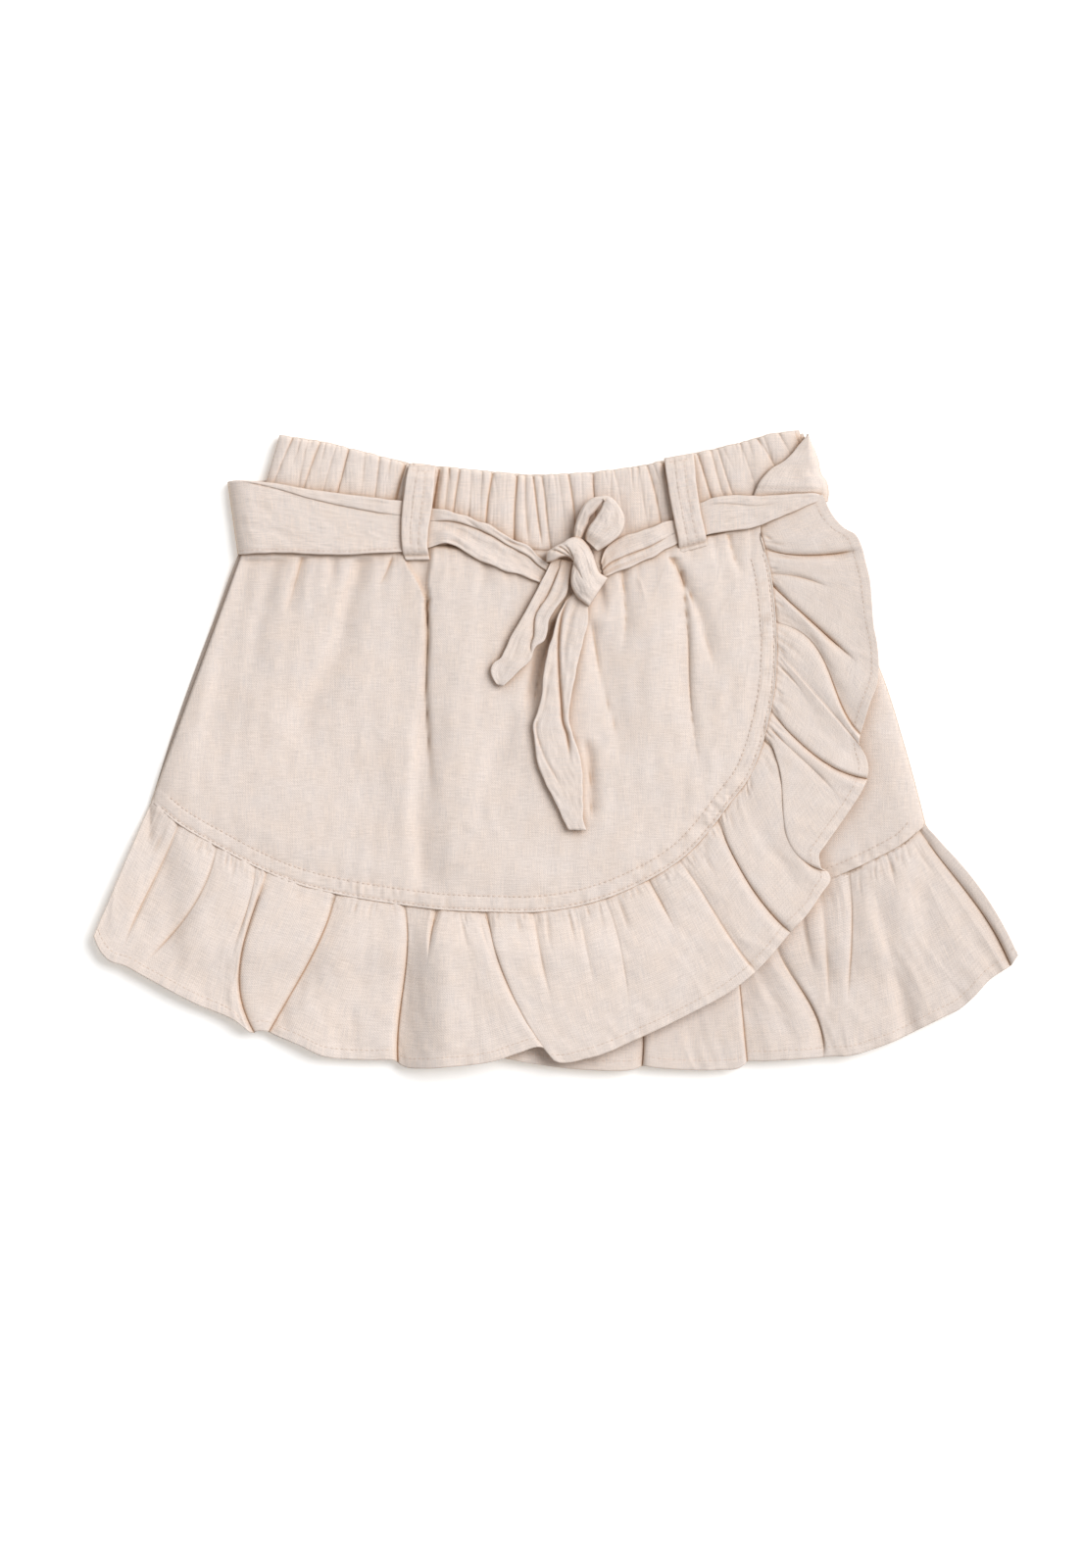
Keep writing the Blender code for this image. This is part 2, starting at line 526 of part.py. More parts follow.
def make_shorts():
    """Front and back of each leg. The legs meet at the middle seam, and part below the crotch."""
    crotch_x, crotch_y = CROTCH

    def leg(side, layer, sign, outer_x, inner_hem_x):
        def inner_x(y):
            parted = ease((crotch_y - y) / (crotch_y - LEG_HEM_Y))
            seam_x = crotch_x + sign * SEAM_GAP
            return seam_x + (inner_hem_x - seam_x) * parted

        def form(u, v):
            x_at_top = outer_x(90.0) + (inner_x(90.0) - outer_x(90.0)) * u
            top = waist_y(x_at_top) - SEAM_GAP
            y = top + (LEG_HEM_Y - top) * v
            x = outer_x(y) + (inner_x(y) - outer_x(y)) * u
            return x, np.minimum(y, waist_y(x) - SEAM_GAP), layer_low(layer, x, y)

        cloth(f"{layer}_{side}", even(6), even(9), form)

    right_outer = x_of_y([(x + SHORTS_INSET, y) for x, y in LEFT_SIDE[:-1]])
    left_outer = x_of_y([(x - SHORTS_INSET, y) for x, y in RIGHT_SIDE[:-2]])
    for layer in ("shorts_back", "shorts_front"):
        leg("right", layer, -1, right_outer, crotch_x - LEG_PARTING)
        leg("left", layer, 1, left_outer, crotch_x + LEG_PARTING)


# ---------------------------------------------------------------- ruffles
def ruffle_form(seam_points, hem_points, table, base):
    """Plan and height of a ruffle, and its columns, which follow the valleys from the seam to the hem."""
    seam, hem = curve(seam_points), curve(hem_points)
    valleys = rows_of(table, RUFFLE_COLUMNS)
    place = np.linspace(0.0, 1.0, len(valleys))  # each valley has its own share of the columns

    def column(name):
        return np.array([valley[name] for valley in valleys])

    def at(u, name):
        return np.interp(u, place, column(name))

    def plan(u, v):
        top, bottom = seam(at(u, "seam")), hem(at(u, "hem"))
        down = (bottom - top) / np.linalg.norm(bottom - top, axis=1)[:, None]
        right = np.stack([-down[:, 1], down[:, 0]], axis=-1)
        # The cubic that is 0 at both ends and passes through the two bows.
        bow = 13.5 * v * (1 - v) * (at(u, "bow_up") * (2 / 3 - v) + at(u, "bow_down") * (v - 1 / 3))
        return top + (bottom - top) * v[:, None] + right * bow[:, None]

    def form(u, v):
        x, y = plan(u, v).T
        width = seam.length + (hem.length - seam.length) * v
        here = at(u, "seam") + (at(u, "hem") - at(u, "seam")) * v
        puff = 0.1 + 0.9 * ease(v / 0.3)
        relief = RUFFLE_PUFF * puff
        for valley in valleys:
            line = valley["seam"] + (valley["hem"] - valley["seam"]) * v
            fade = ease((v - valley["start"] + 0.12) / 0.12) * ease((valley["end"] - v + 0.3) / 0.3)
            dip = valley["depth"] * puff * fade * bump((here - line) * width, valley["left"], valley["right"])
            relief = np.minimum(relief, RUFFLE_PUFF * puff - dip)
        return x, y, base(x, y, u, v) + relief

    # Columns stand in each valley, part of the way up its sides where it is wide, and at its lips.
    per_share = np.gradient(column("hem") * hem.length, place)
    beside = [0.0]
    for part in (0.8, 1.7):
        beside += [-part * column("left") / per_share, part * column("right") / per_share]
    shares = np.concatenate([place + reach for reach in beside])
    return form, apart(np.clip(shares, 0.0, 1.0), 2.0 / hem.length)


def make_wrap_ruffle():
    seam_points = [(x, y - SEAM_GAP * 2) for x, y in WRAP_SEAM[:12]]
    seam_points += [(x + SEAM_GAP * 1.5, y - SEAM_GAP * 1.5) for x, y in WRAP_SEAM[12:17]]
    seam_points += [(x + SEAM_GAP * 2, y) for x, y in WRAP_SEAM[17:]]

    def base(x, y, u, v):
        alone = HEM_LOW + (FLAT_LOW["inner"] - HEM_LOW) * over_shorts(x, y)
        layered = SEAM_LOW + (WRAP_HEM_LOW - SEAM_LOW) * ease(v * 70 / RUFFLE_RISE)
        low = alone + (layered - alone) * over_inner(x)
        waist = (WAIST_LOW["wrap"] - FLAT_LOW["wrap"]) * waist_share(x, y)
        return HEM_LOW + (low + waist - HEM_LOW) * roll(x + 226.0, 26.0)

    form, columns = ruffle_form(seam_points, WRAP_HEM, WRAP_RUFFLE, base)
    cloth("wrap_ruffle", columns, even(6), form)


def make_inner_ruffle():
    seam_points = [(x, y - SEAM_GAP) for x, y in INNER_SEAM]

    def base(x, y, u, v):
        low = HEM_LOW + (FLAT_LOW["inner"] - HEM_LOW) * over_shorts(x, y)
        return HEM_LOW + (low - HEM_LOW) * roll((1 - u) * 170.0)

    form, columns = ruffle_form(seam_points, INNER_HEM, INNER_RUFFLE, base)
    cloth("inner_ruffle", columns, even(5), form)


def make_back_ruffle():
    """Flat on the table, with its pressed folds raised on the upper side only."""
    seam = curve([(x, y - SEAM_GAP) for x, y in BACK_SEAM])
    hem = curve(BACK_HEM)

    def form(u, v):
        x, y = between(seam, hem, u, v)
        return x, y, np.zeros_like(u)

    def wall(u, v):
        wave = np.cos(2 * np.pi * (u * BACK_RUFFLE_WAVES + 0.6 * np.sin(5.3 * u)))
        return CLOTH + BACK_RUFFLE_RIDGE * (0.5 + 0.5 * wave)

    cloth("back_ruffle", even(BACK_RUFFLE_WAVES * 3), even(3), form, wall)


# ---------------------------------------------------------------- waistband
def make_waistband(name, gathers, low, side_height):
    """One side of the gathered casing. Valleys run from its top edge to its seam."""
    top_edge, seam = curve(WAIST_TOP), curve(WAIST_SEAM)
    width = WAIST_TOP[-1][0] - WAIST_TOP[0][0]
    rows = rows_of(gathers, GATHER_COLUMNS)
    deepest = max(row["depth"] for row in rows)
    top_x = top_edge(even(200))[:, 0]
    place = [float(np.interp(row["x"], top_x, even(200))) for row in rows]

    def form(u, v):
        x, y = between(top_edge, seam, u, v)
        relief = np.full_like(u, deepest)
        shift = np.zeros_like(u)
        for row, share in zip(rows, place):
            valley = bump((u - share) * width, GATHER_HALF, GATHER_HALF)
            relief = np.minimum(relief, deepest - row["depth"] * valley)
            shift = shift + row["lean"] * valley * v * 0.5
        x, y = x + shift, y + (waist_y(x + shift) - waist_y(x)) * v
        # The casing's top edge dips a little at each gather.
        y = y + (relief - deepest) * RIM_DIP * (1 - ease(v / 0.3))
        edge = roll(np.minimum(u, 1 - u) * width, BAND_ROLL)
        return x, y, side_height + (low + relief - side_height) * edge

    cloth(name, stations(place, GATHER_HALF / width, 0.004), even(3), form, BAND)


def make_waistbands():
    make_waistband("waistband_front", FRONT_GATHERS, BAND_FRONT_LOW, BAND_FRONT_LOW)
    first, last = WAIST_TOP[0][0], WAIST_TOP[-1][0]
    behind = []
    for k in range(int((last - first) / BACK_GATHER_PITCH)):
        x = first + BACK_GATHER_PITCH * (k + 0.5 + 0.25 * math.sin(2.7 * k))
        behind.append((x, math.sin(4.1 * k), BACK_GATHER_DEPTH))
    make_waistband("waistband_back", behind, BAND_BACK_LOW, BAND_BACK_LOW)


# ---------------------------------------------------------------- belt
def strip(name, edges, ridges, low, along, across):
    """A stretch of the belt between its two edges. u runs along it, v across it."""
    upper, lower = curve(edges["upper"]), curve(edges["lower"])
    table = rows_of(ridges, RIDGE_COLUMNS)

    def form(u, v):
        x, y = between(upper, lower, u, v)
        relief = np.zeros_like(u)
        for ridge in table:
            crest = ridge["across0"] + (ridge["across1"] - ridge["across0"]) * u
            relief = np.maximum(relief, ridge["height"] * bump(v - crest, ridge["left"], ridge["right"]))
        return x, y, low(x, y, u, v, relief)

    return cloth(name, along, across, form)


def loop_press(x):
    """0 under a belt loop, 1 clear of it: a loop holds the belt flat."""
    press = np.ones_like(x)
    for top, bottom in FRONT_LOOPS.values():
        middle = (top[0] + bottom[0]) / 2
        press = np.minimum(press, ease((np.abs(x - middle) - LOOP_WIDTH / 2 - 1) / 8))
    return press


def make_belt():
    floor = BELT_BACK_LOW + CLOTH + SEAM_GAP  # where the belt turns round the side, on its back stretch

    def flat(x, y, u, v, relief):
        return BELT_LOW + relief * loop_press(x)

    def turned_left(x, y, u, v, relief):
        return floor + (flat(x, y, u, v, relief) - floor) * roll(u * 92.0, BELT_ROLL)

    def turned_right(x, y, u, v, relief):
        return floor + (flat(x, y, u, v, relief) - floor) * roll((1 - u) * 69.0, BELT_END_ROLL)

    def corner(x, y, u, v, relief):
        return floor + (BELT_LOW + relief - floor) * roll((1 - v) * 20.0, BELT_END_ROLL)

    def behind(x, y, u, v, relief):
        return np.full_like(u, BELT_BACK_LOW)

    left_end = with_rolled_end(even(12), BELT_ROLL / 92.0, at_start=True)
    right_end = with_rolled_end(even(10), BELT_END_ROLL / 69.0)
    outer_side = with_rolled_end(even(4), BELT_END_ROLL / 20.0)
    strip("belt_left_stretch", BELT_LEFT, BELT_LEFT_RIDGES, turned_left, left_end, even(6))
    strip("belt_inner_left_stretch", BELT_INNER_LEFT, BELT_INNER_LEFT_RIDGES, flat, even(14), even(7))
    strip("belt_inner_right_stretch", BELT_INNER_RIGHT, BELT_INNER_RIGHT_RIDGES, flat, even(9), even(6))
    strip("belt_right_stretch", BELT_RIGHT, BELT_RIGHT_RIDGES, turned_right, right_end, even(5))
    strip("belt_corner_stretch", BELT_CORNER, BELT_CORNER_RIDGES, corner, even(8), outer_side)
    strip("belt_back_stretch", BELT_BACK, [], behind, even(16), even(2))


def make_tails():
    def draped(x, y, u, v, relief):
        return TAIL_LOW + relief * ease((u - 0.08) / 0.2)

    strip("belt_tail_right", TAIL_LEFT, TAIL_LEFT_RIDGES, draped, even(12), even(6))
    strip("belt_tail_left", TAIL_RIGHT, TAIL_RIGHT_RIDGES, draped, even(14), even(6))


def make_loop(name, ends, low_at, bow):
    """A strip of cloth over the belt, sewn down at both ends."""
    top, bottom = np.array(ends[0]), np.array(ends[1])
    along = (bottom - top) / np.linalg.norm(bottom - top)
    across = np.array([-along[1], along[0]]) * LOOP_WIDTH / 2

    def form(u, v):
        place = top + (bottom - top) * v[:, None] + across * (2 * u[:, None] - 1)
        arch = ease(np.sin(np.pi * v) / 0.2)
        return place[:, 0], place[:, 1], low_at + bow * arch

    cloth(name, even(2), apart([0.06, 0.12, *even(6), 0.88, 0.94], 0.04), form)


def make_loops():
    for name, ends in FRONT_LOOPS.items():
        make_loop(name, ends, BELT_LOW, LOOP_LIFT)
    for name, ends in BACK_LOOPS.items():
        make_loop(name, ends, 0.0, 0.0)


def make_knot():
    """The knot: a folded pad of the belt, fullest in the middle, with a soft crease from its inner corner."""
    upper, lower = curve(KNOT["upper"]), curve(KNOT["lower"])

    def form(u, v):
        x, y = between(upper, lower, u, v)
        return x, y, np.full_like(u, KNOT_LOW)

    def wall(u, v):
        full = np.sin(np.pi * np.clip(v, 0, 1)) ** 0.7 * ease(np.minimum(u + 0.1, 1.08 - u) / 0.25)
        crease = bump(v - (1.05 - 0.75 * (u - 0.36)), 0.14, 0.2) * bump(u - 0.56, 0.2, 0.24)
        return KNOT_EDGE + KNOT_CROWN * full - 1.3 * crease

    cloth("belt_knot", even(17), even(7), form, wall)


def make_bow():
    """The one bow: a loop of ribbon that leaves the knot, turns over at its top and comes back."""
    upper, lower = curve(BOW["upper"]), curve(BOW["lower"])

    def form(u, v):
        x, y = between(upper, lower, u, v)
        climb = BOW_CLIMB[0] * ease(u / 0.4) + BOW_CLIMB[1] * ease((u - 0.45) / 0.1)
        return x, y, BOW_LOW + climb + BOW_ARCH * np.sin(np.pi * v)

    cloth("belt_bow", even(20), even(4), form)


for old in list(bpy.data.objects):
    bpy.data.objects.remove(old)
garment = bpy.data.collections.new("skort")
bpy.context.scene.collection.children.link(garment)

make_back_panel()
make_back_ruffle()
make_shorts()
make_inner_panel()
make_inner_ruffle()
make_wrap_panel()
make_wrap_ruffle()
make_waistbands()
make_belt()
make_loops()
make_tails()
make_knot()
make_bow()
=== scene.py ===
"""The looks of a girl's linen skort, laid flat on its back on a white table.

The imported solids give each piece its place. Here each piece of cloth is a thin shell on its solid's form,
with its gathers, creases, turned hems and stitching, in linen.
"""

import math

import bmesh
import bpy
import numpy as np
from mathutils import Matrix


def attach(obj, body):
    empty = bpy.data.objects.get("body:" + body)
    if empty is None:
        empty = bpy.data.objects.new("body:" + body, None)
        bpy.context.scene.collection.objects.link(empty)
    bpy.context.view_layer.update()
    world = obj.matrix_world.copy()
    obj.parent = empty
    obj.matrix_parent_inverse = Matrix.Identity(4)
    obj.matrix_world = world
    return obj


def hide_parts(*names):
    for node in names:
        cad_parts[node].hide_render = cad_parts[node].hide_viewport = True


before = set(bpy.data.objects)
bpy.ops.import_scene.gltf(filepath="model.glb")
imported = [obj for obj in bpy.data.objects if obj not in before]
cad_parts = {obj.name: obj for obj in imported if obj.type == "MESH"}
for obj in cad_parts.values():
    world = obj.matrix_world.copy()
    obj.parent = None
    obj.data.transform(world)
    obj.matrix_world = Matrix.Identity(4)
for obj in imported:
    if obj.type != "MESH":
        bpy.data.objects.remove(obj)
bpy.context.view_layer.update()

MM = 0.001

# ---------------------------------------------------------------- the solids' driving dimensions, millimetres
CLOTH = 1.0  # a solid's wall; a shell lies on its upper face
SEAM_GAP = 0.3
LOOP_WIDTH = 13.6
SIDE_ROLL = 14.0
WAIST_RISE = 40.0
RUFFLE_RISE = 18.0
FLAT_LOW = {"back": 0.0, "shorts_back": 2.7, "shorts_front": 4.0, "inner": 5.3, "wrap": 7.5}
WAIST_LOW = {"back": 2.6, "shorts_back": 3.9, "shorts_front": 5.2, "inner": 6.5, "wrap": 7.8}
BAND = 2.0
BAND_BACK_LOW = 2.6
BAND_FRONT_LOW = 5.5
BELT_BACK_LOW = 1.3
BELT_LOW = 9.1
LOOP_LIFT = 1.8
LOOP_END_LOW = 7.9  # its ends are sewn down on the waistband
TAIL_LOW = 10.8
HEM_LOW = 2.6
SEAM_LOW = 6.9
WRAP_HEM_LOW = 10.4
SHORTS_INSET = 17.0
CROTCH = (8.0, -30.0)
LEG_HEM_Y = -92.0
LEG_PARTING = 16.0

# ---------------------------------------------------------------- linen, millimetres
SHELL = 0.5  # thickness of one layer
BELT_SHELL = 0.9  # the belt and its loops are sewn double
HEM_TURN = 5.5  # width of a turned hem
HEM_STITCH_INSET = 0.7  # its stitches lie this far inside the turn's edge
TOPSTITCH = (1.4, 7.7)  # the two rows inside a panel's seam
STITCH_PITCH = 2.5
STITCH_LENGTH = 1.7

# ---------------------------------------------------------------- outlines in plan, as in the solids
WAIST_TOP = [
    (-135, 154), (-114, 151), (-94, 146), (-73, 141), (-47, 138), (-13, 135), (16, 136), (40, 139), (66, 145),
    (88, 150), (107, 155), (119, 156.5),
]
WAIST_SEAM = [
    (-146, 116), (-109, 108), (-66, 101), (-32, 98), (-6, 97), (25, 98), (59, 102), (93, 109), (130, 121),
]
LEFT_SIDE = [(-146, 116), (-156, 94), (-165, 70), (-176, 41), (-188, 7), (-198, -25)]
RIGHT_SIDE = [(130, 121), (145, 84), (156, 47), (162, 31), (170, 5), (178, -24), (181, -36)]
WRAP_SEAM = [
    (-198, -25), (-186, -35), (-164, -48), (-147, -57), (-128, -65), (-109, -70), (-80, -75), (-56, -78),
    (-32, -79), (-8, -79), (16, -75), (40, -66), (64, -51), (76, -38), (85, -26), (94, -14), (100, 0),
    (104, 15), (107, 31), (108, 51), (107, 70), (104, 91), (100, 103),
]
WRAP_HEM = [
    (-225.6, -91), (-223.7, -96), (-218, -103), (-210.5, -105.5), (-204, -109), (-190.5, -116.5),
    (-176, -124), (-157, -132), (-147, -138), (-143, -137), (-137, -139.5), (-127, -143.5), (-114, -149.5),
    (-103, -151), (-90, -151.5), (-78.5, -152), (-75, -154.3), (-63.5, -155.3), (-51.5, -154.3),
    (-42, -153.5), (-30, -151.5), (-18, -147.5), (-6.5, -144.7), (-3, -146.2), (2, -151.4), (16, -150),
    (40, -140.5), (64, -129), (88, -115.5), (104.5, -100.5), (111.5, -92), (115, -88), (121.5, -81),
    (129, -70.5), (134, -62.5), (130.6, -56), (128.6, -51), (131.5, -46.3), (138, -37), (145.5, -26),
    (150, -18.5), (153, -9), (151, -3), (147.5, 2.5), (149.5, 10.5), (153.6, 24), (156.5, 31.5), (157.4, 41),
    (156.5, 52), (155, 60), (154, 72), (153, 83), (151, 91.5), (149.3, 98.5), (146, 105), (140.6, 108.2),
    (135, 114.5), (131.5, 120.2),
]
INNER_SEAM = [
    (-47, -83), (-23, -86), (16, -87), (64, -83), (102, -75), (124, -68), (136, -65), (150, -59), (162, -53),
    (172, -47), (181, -37),
]
INNER_HEM = [
    (-46.6, -146), (-32, -149), (-18, -152), (-6, -154), (4, -155.3), (16, -156.2), (28, -156.6),
    (39, -155.8), (42.7, -154.3), (50.5, -155.3), (64, -156.2), (80.5, -156.2), (89, -155.3), (92.6, -152.5),
    (102, -152), (112, -151.4), (126, -150.5), (136, -149.5), (142, -149.5), (155, -146), (167, -141.5),
    (179, -135.6), (188.6, -130.8), (197.3, -126.5), (204, -120.7), (212.6, -111.6), (218.4, -107.8),
    (222.7, -105), (226, -100),
]
BACK_SEAM = [(-198, -25), (-128, -62), (-60, -76), (0, -80), (60, -76), (130, -62), (181, -36)]
BACK_HEM = [
    (-224, -91), (-200, -105), (-169, -123), (-146, -133), (-109, -144), (-75, -148), (-42, -147),
    (-13, -144), (16, -145), (64, -148), (112, -146), (143, -144), (174, -131), (201, -118), (215, -109),
    (226, -99),
]

# ---------------------------------------------------------------- folds
# Ruffles: a row for each valley, as in the solids, and lip, how far the cloth hangs over the valley: from
# its left where lip is above 0, from its right where it is below.
RUFFLE_PUFF = 4.4
SEAM_UNDER_BELT = (-0.9, 9.9)  # the wrap's ruffle goes on under the belt: its seam's end moves by this,
HEM_UNDER_BELT = (-1.35, 4.5)  # and its hem's end by this
RUFFLE_COLUMNS = ("seam", "hem", "bow_up", "bow_down", "depth", "left", "right", "lip", "start", "end")
WRAP_RUFFLE = [
    (0.000, 0.000, 0.0, 0.0, 0.0, 2, 2, 0.0, 0.0, 1.0), (0.038, 0.030, 0.0, -1.0, 3.2, 3, 6, 0.8, 0.0, 0.62),
    (0.085, 0.045, 6.0, 5.0, 2.4, 2, 4, 0.8, 0.0, 0.66), (0.132, 0.118, 1.0, -1.0, 1.6, 3, 3, 0.3, 0.0, 0.3),
    (0.145, 0.151, -6.5, -9.5, 2.8, 2, 2, -1.5, 0.0, 1.0),
    (0.222, 0.162, 2.5, 1.5, 4.0, 1.5, 7, 1.8, 0.0, 1.0), (0.270, 0.227, 0.0, -2.0, 1.4, 8, 8, 0.0, 0.0, 1.0),
    (0.297, 0.268, 2.0, 0.0, 4.4, 2.5, 13, 1.0, 0.0, 1.0),
    (0.331, 0.291, -2.5, -2.0, 4.2, 3, 2, -1.0, 0.0, 0.08),
    (0.357, 0.327, 2.5, 2.0, 1.0, 6, 6, 0.0, 0.0, 1.0), (0.384, 0.396, -4.0, -4.5, 4.4, 5, 2, -2.0, 0.0, 1.0),
    (0.434, 0.421, -3.5, -5.0, 2.2, 2, 3, -0.5, 0.0, 0.32),
    (0.482, 0.442, 0.0, 0.0, 1.2, 2, 2, 0.4, 0.0, 0.3), (0.513, 0.463, 2.5, 2.0, 1.5, 3, 5, 0.2, 0.0, 0.5),
    (0.563, 0.517, 3.5, 4.5, 2.8, 2, 4, 0.6, 0.0, 0.15), (0.602, 0.574, 0.0, -1.0, 2.0, 2, 4, 0.5, 0.0, 0.9),
    (0.661, 0.615, -3.0, -3.5, 3.4, 3, 2, -1.2, 0.0, 0.85),
    (0.707, 0.639, -4.5, -1.0, 1.2, 3, 5, 0.0, 0.0, 0.6),
    (0.760, 0.675, 0.5, -9.0, 3.6, 5, 2, -2.0, 0.0, 1.0), (0.777, 0.730, 0.5, 1.5, 1.0, 2, 2, 0.4, 0.1, 0.6),
    (0.792, 0.760, -4.0, -5.0, 3.8, 3, 2, -1.6, 0.0, 1.0),
    (0.833, 0.778, 0.0, -4.5, 2.2, 8, 8, 0.0, 0.1, 1.0), (0.857, 0.788, 0.0, 0.5, 1.4, 2, 3, 0.4, 0.0, 1.0),
    (0.887, 0.797, 8.0, 2.5, 3.0, 2, 8, 0.5, 0.0, 1.0), (0.926, 0.838, 0.5, 1.0, 4.2, 3, 2, -1.2, 0.0, 0.52),
    (0.940, 0.899, 3.0, 2.0, 2.0, 2, 2, 0.5, 0.0, 0.3), (0.966, 0.945, -2.5, -2.0, 4.2, 3, 2, -1.2, 0.0, 0.7),
    (1.000, 1.000, 1.0, 0.5, 0.0, 2, 2, 0.0, 0.0, 1.0),
]
INNER_RUFFLE = [
    (0.000, 0.000, 0.0, 0.0, 0.0, 2, 2, 0.0, 0.0, 1.0), (0.131, 0.127, 0.0, 0.0, 1.6, 8, 8, 0.0, 0.0, 1.0),
    (0.339, 0.311, 2.0, 3.0, 3.2, 4, 2, -1.5, 0.2, 1.0), (0.465, 0.399, 0.5, 0.5, 1.0, 5, 5, 0.0, 0.0, 1.0),
    (0.560, 0.489, 0.0, 0.0, 2.8, 2, 8, 1.2, 0.0, 1.0), (0.600, 0.560, -5.0, 1.0, 1.8, 4, 5, 0.0, 0.2, 0.75),
    (0.655, 0.618, -6.0, 1.5, 3.0, 4, 2, -0.8, 0.1, 0.8),
    (0.705, 0.632, -1.0, 0.0, 2.4, 3, 2, -0.8, 0.0, 0.25),
    (0.742, 0.643, 0.5, -1.0, 2.8, 2, 4, 0.8, 0.0, 0.45),
    (0.809, 0.662, 1.0, -0.5, 2.6, 2, 5, 0.8, 0.0, 0.45), (0.860, 0.763, 0.0, 2.0, 4.6, 4, 8, 0.0, 0.2, 1.0),
    (0.897, 0.810, 0.0, 0.0, 1.4, 2, 3, 0.3, 0.0, 0.05), (0.935, 0.880, -2.0, -2.0, 1.3, 5, 6, 0.0, 0.3, 1.0),
    (0.965, 0.950, 0.0, 0.0, 1.6, 5, 5, 0.0, 0.0, 1.0), (0.984, 0.978, 1.5, 3.0, 3.8, 4, 2, -1.4, 0.0, 0.9),
    (1.000, 1.000, 4.0, 4.0, 0.0, 2, 2, 0.0, 0.0, 1.0),
]

# Wrap panel: the path of each valley, its depth, reach to the left and to the right, each at both ends,
# its lip, and the lengths over which it fades in and out. A depth below 0 is a ridge.
PANEL_COLUMNS = ("path", "depth", "left", "right", "lip", "fade_in", "fade_out")
FOLD_DEPTH = 1.2  # the depths below are multiplied by this
PANEL_FOLDS = [
    ([(-169, 60), (-188, 3), (-194, -17)], (1.2, 1.2), (5, 6), (6, 8), 0.0, 20, 20),
    ([(-148, 94), (-159, 60), (-166, 22), (-176, -12)], (2.4, 1.8), (5, 8), (8, 14), 0.0, 2, 30),
    ([(-136, 94), (-146, 55), (-150, 22)], (1.6, 1.0), (4, 7), (4, 7), 0.0, 2, 30),
    ([(-124, 95), (-129, 77), (-134, 60)], (2.4, 1.0), (1.2, 3), (3, 7), 0.6, 2, 16),
    ([(-95, 94), (-102, 70), (-108, 46), (-123, 17), (-126, -12)], (2.0, 1.5), (3, 8), (5, 10), 0.0, 2, 34),
    ([(-80, 94), (-84, 84), (-88, 78)], (1.6, 0.6), (1.2, 3), (2, 4), 0.4, 1, 8),
    ([(-62.6, 74), (-62, 60), (-63, 31), (-62, 3), (-61, -31)], (2.6, 1.4), (2, 6), (1.0, 3), -1.0, 3, 40),
    ([(-64, 25), (-65.5, 0), (-66, -31), (-65, -55), (-64, -77)], (1.2, 2.6), (4, 5), (10, 12), 0.0, 30, 10),
    ([(-74, 20), (-75, -17), (-76, -55)], (-0.9, -0.9), (9, 9), (9, 9), 0.0, 25, 25),
    ([(-44, 60), (-46, 20), (-44, -30)], (-0.6, -0.8), (9, 9), (8, 8), 0.0, 30, 30),
    ([(-19, 22), (-27, 3), (-33, -21)], (1.2, 0.9), (4, 4), (7, 7), 0.0, 12, 18),
    ([(-9, 52), (-10, 30), (-13, 12)], (1.8, 0.8), (5, 6), (3, 4), 0.0, 8, 14),
    ([(17.5, 64), (20.6, 44), (24.5, 26), (30, 7), (33, -12)], (2.2, 1.0), (3, 6), (7, 10), 0.3, 8, 26),
    ([(21, 82), (22.5, 72), (22, 62)], (1.6, 0.6), (3, 3), (2, 3), 0.0, 3, 10),
    ([(32, 90), (34, 60), (31, 41)], (1.9, 0.8), (1.5, 3), (2.5, 4), 0.5, 3, 22),
    ([(45, 80), (47, 50), (49, 10)], (-0.7, -0.7), (8, 9), (8, 9), 0.0, 20, 30),
    ([(56, 94), (62, 84), (70, 67), (74, 53), (81, 31)], (2.5, 1.4), (1.4, 5), (3, 6), 0.7, 1, 26),
    ([(61, 88), (64, 60), (66, 22), (71, -17)], (2.2, 1.4), (4, 8), (1.6, 4), -0.6, 3, 40),
    ([(84, 106), (87, 94), (91, 84)], (1.6, 1.0), (1.2, 2), (2, 3), 0.4, 1, 10),
    ([(0.5, 64), (-4.5, 50), (-7.4, 40), (-9.6, 29), (-12, 14)], (3.8, 1.6), (3.6, 5), (2.4, 4), 0.4, 3, 16),
    ([(-5, 58), (-9.5, 45), (-11.8, 34), (-14.5, 18)], (1.8, 0.8), (2.5, 3.5), (2.5, 3.5), 0.2, 4, 14),
    ([(14.5, 6), (16.5, -8), (17, -22), (17.5, -36)], (2.4, 1.4), (2.5, 3), (3, 4), 0.3, 8, 8),
    ([(8, 92), (7, 82), (5, 74)], (0.9, 0.5), (2, 2), (2, 2), 0.0, 1, 8),
    ([(-33, 94), (-35, 84), (-38, 72)], (1.0, 0.6), (2, 3), (2, 4), 0.0, 1, 10),
    ([(-108, 94), (-110, 84), (-112, 76)], (0.9, 0.5), (2, 3), (2, 3), 0.0, 1, 8),
]

# The pleat below the right loop: its two folded edges, between which its inside shows.
PLEAT_LEFT = [
    (-74, 97), (-73.2, 91.9), (-69.1, 85), (-65.9, 78.6), (-64, 72.9), (-63.1, 66.6), (-62.7, 60.2),
    (-62.6, 30),
]
PLEAT_RIGHT = [
    (-59.2, 99), (-60.8, 93.2), (-61.4, 88.1), (-62.2, 80.5), (-61.8, 76.7), (-61.0, 72.9), (-60.9, 66.6),
    (-61.2, 58), (-62.2, 30),
]
PLEAT_DEPTH = 2.0
PLEAT_FOOT_Y = 30.0
PLEAT_FADE = 30.0

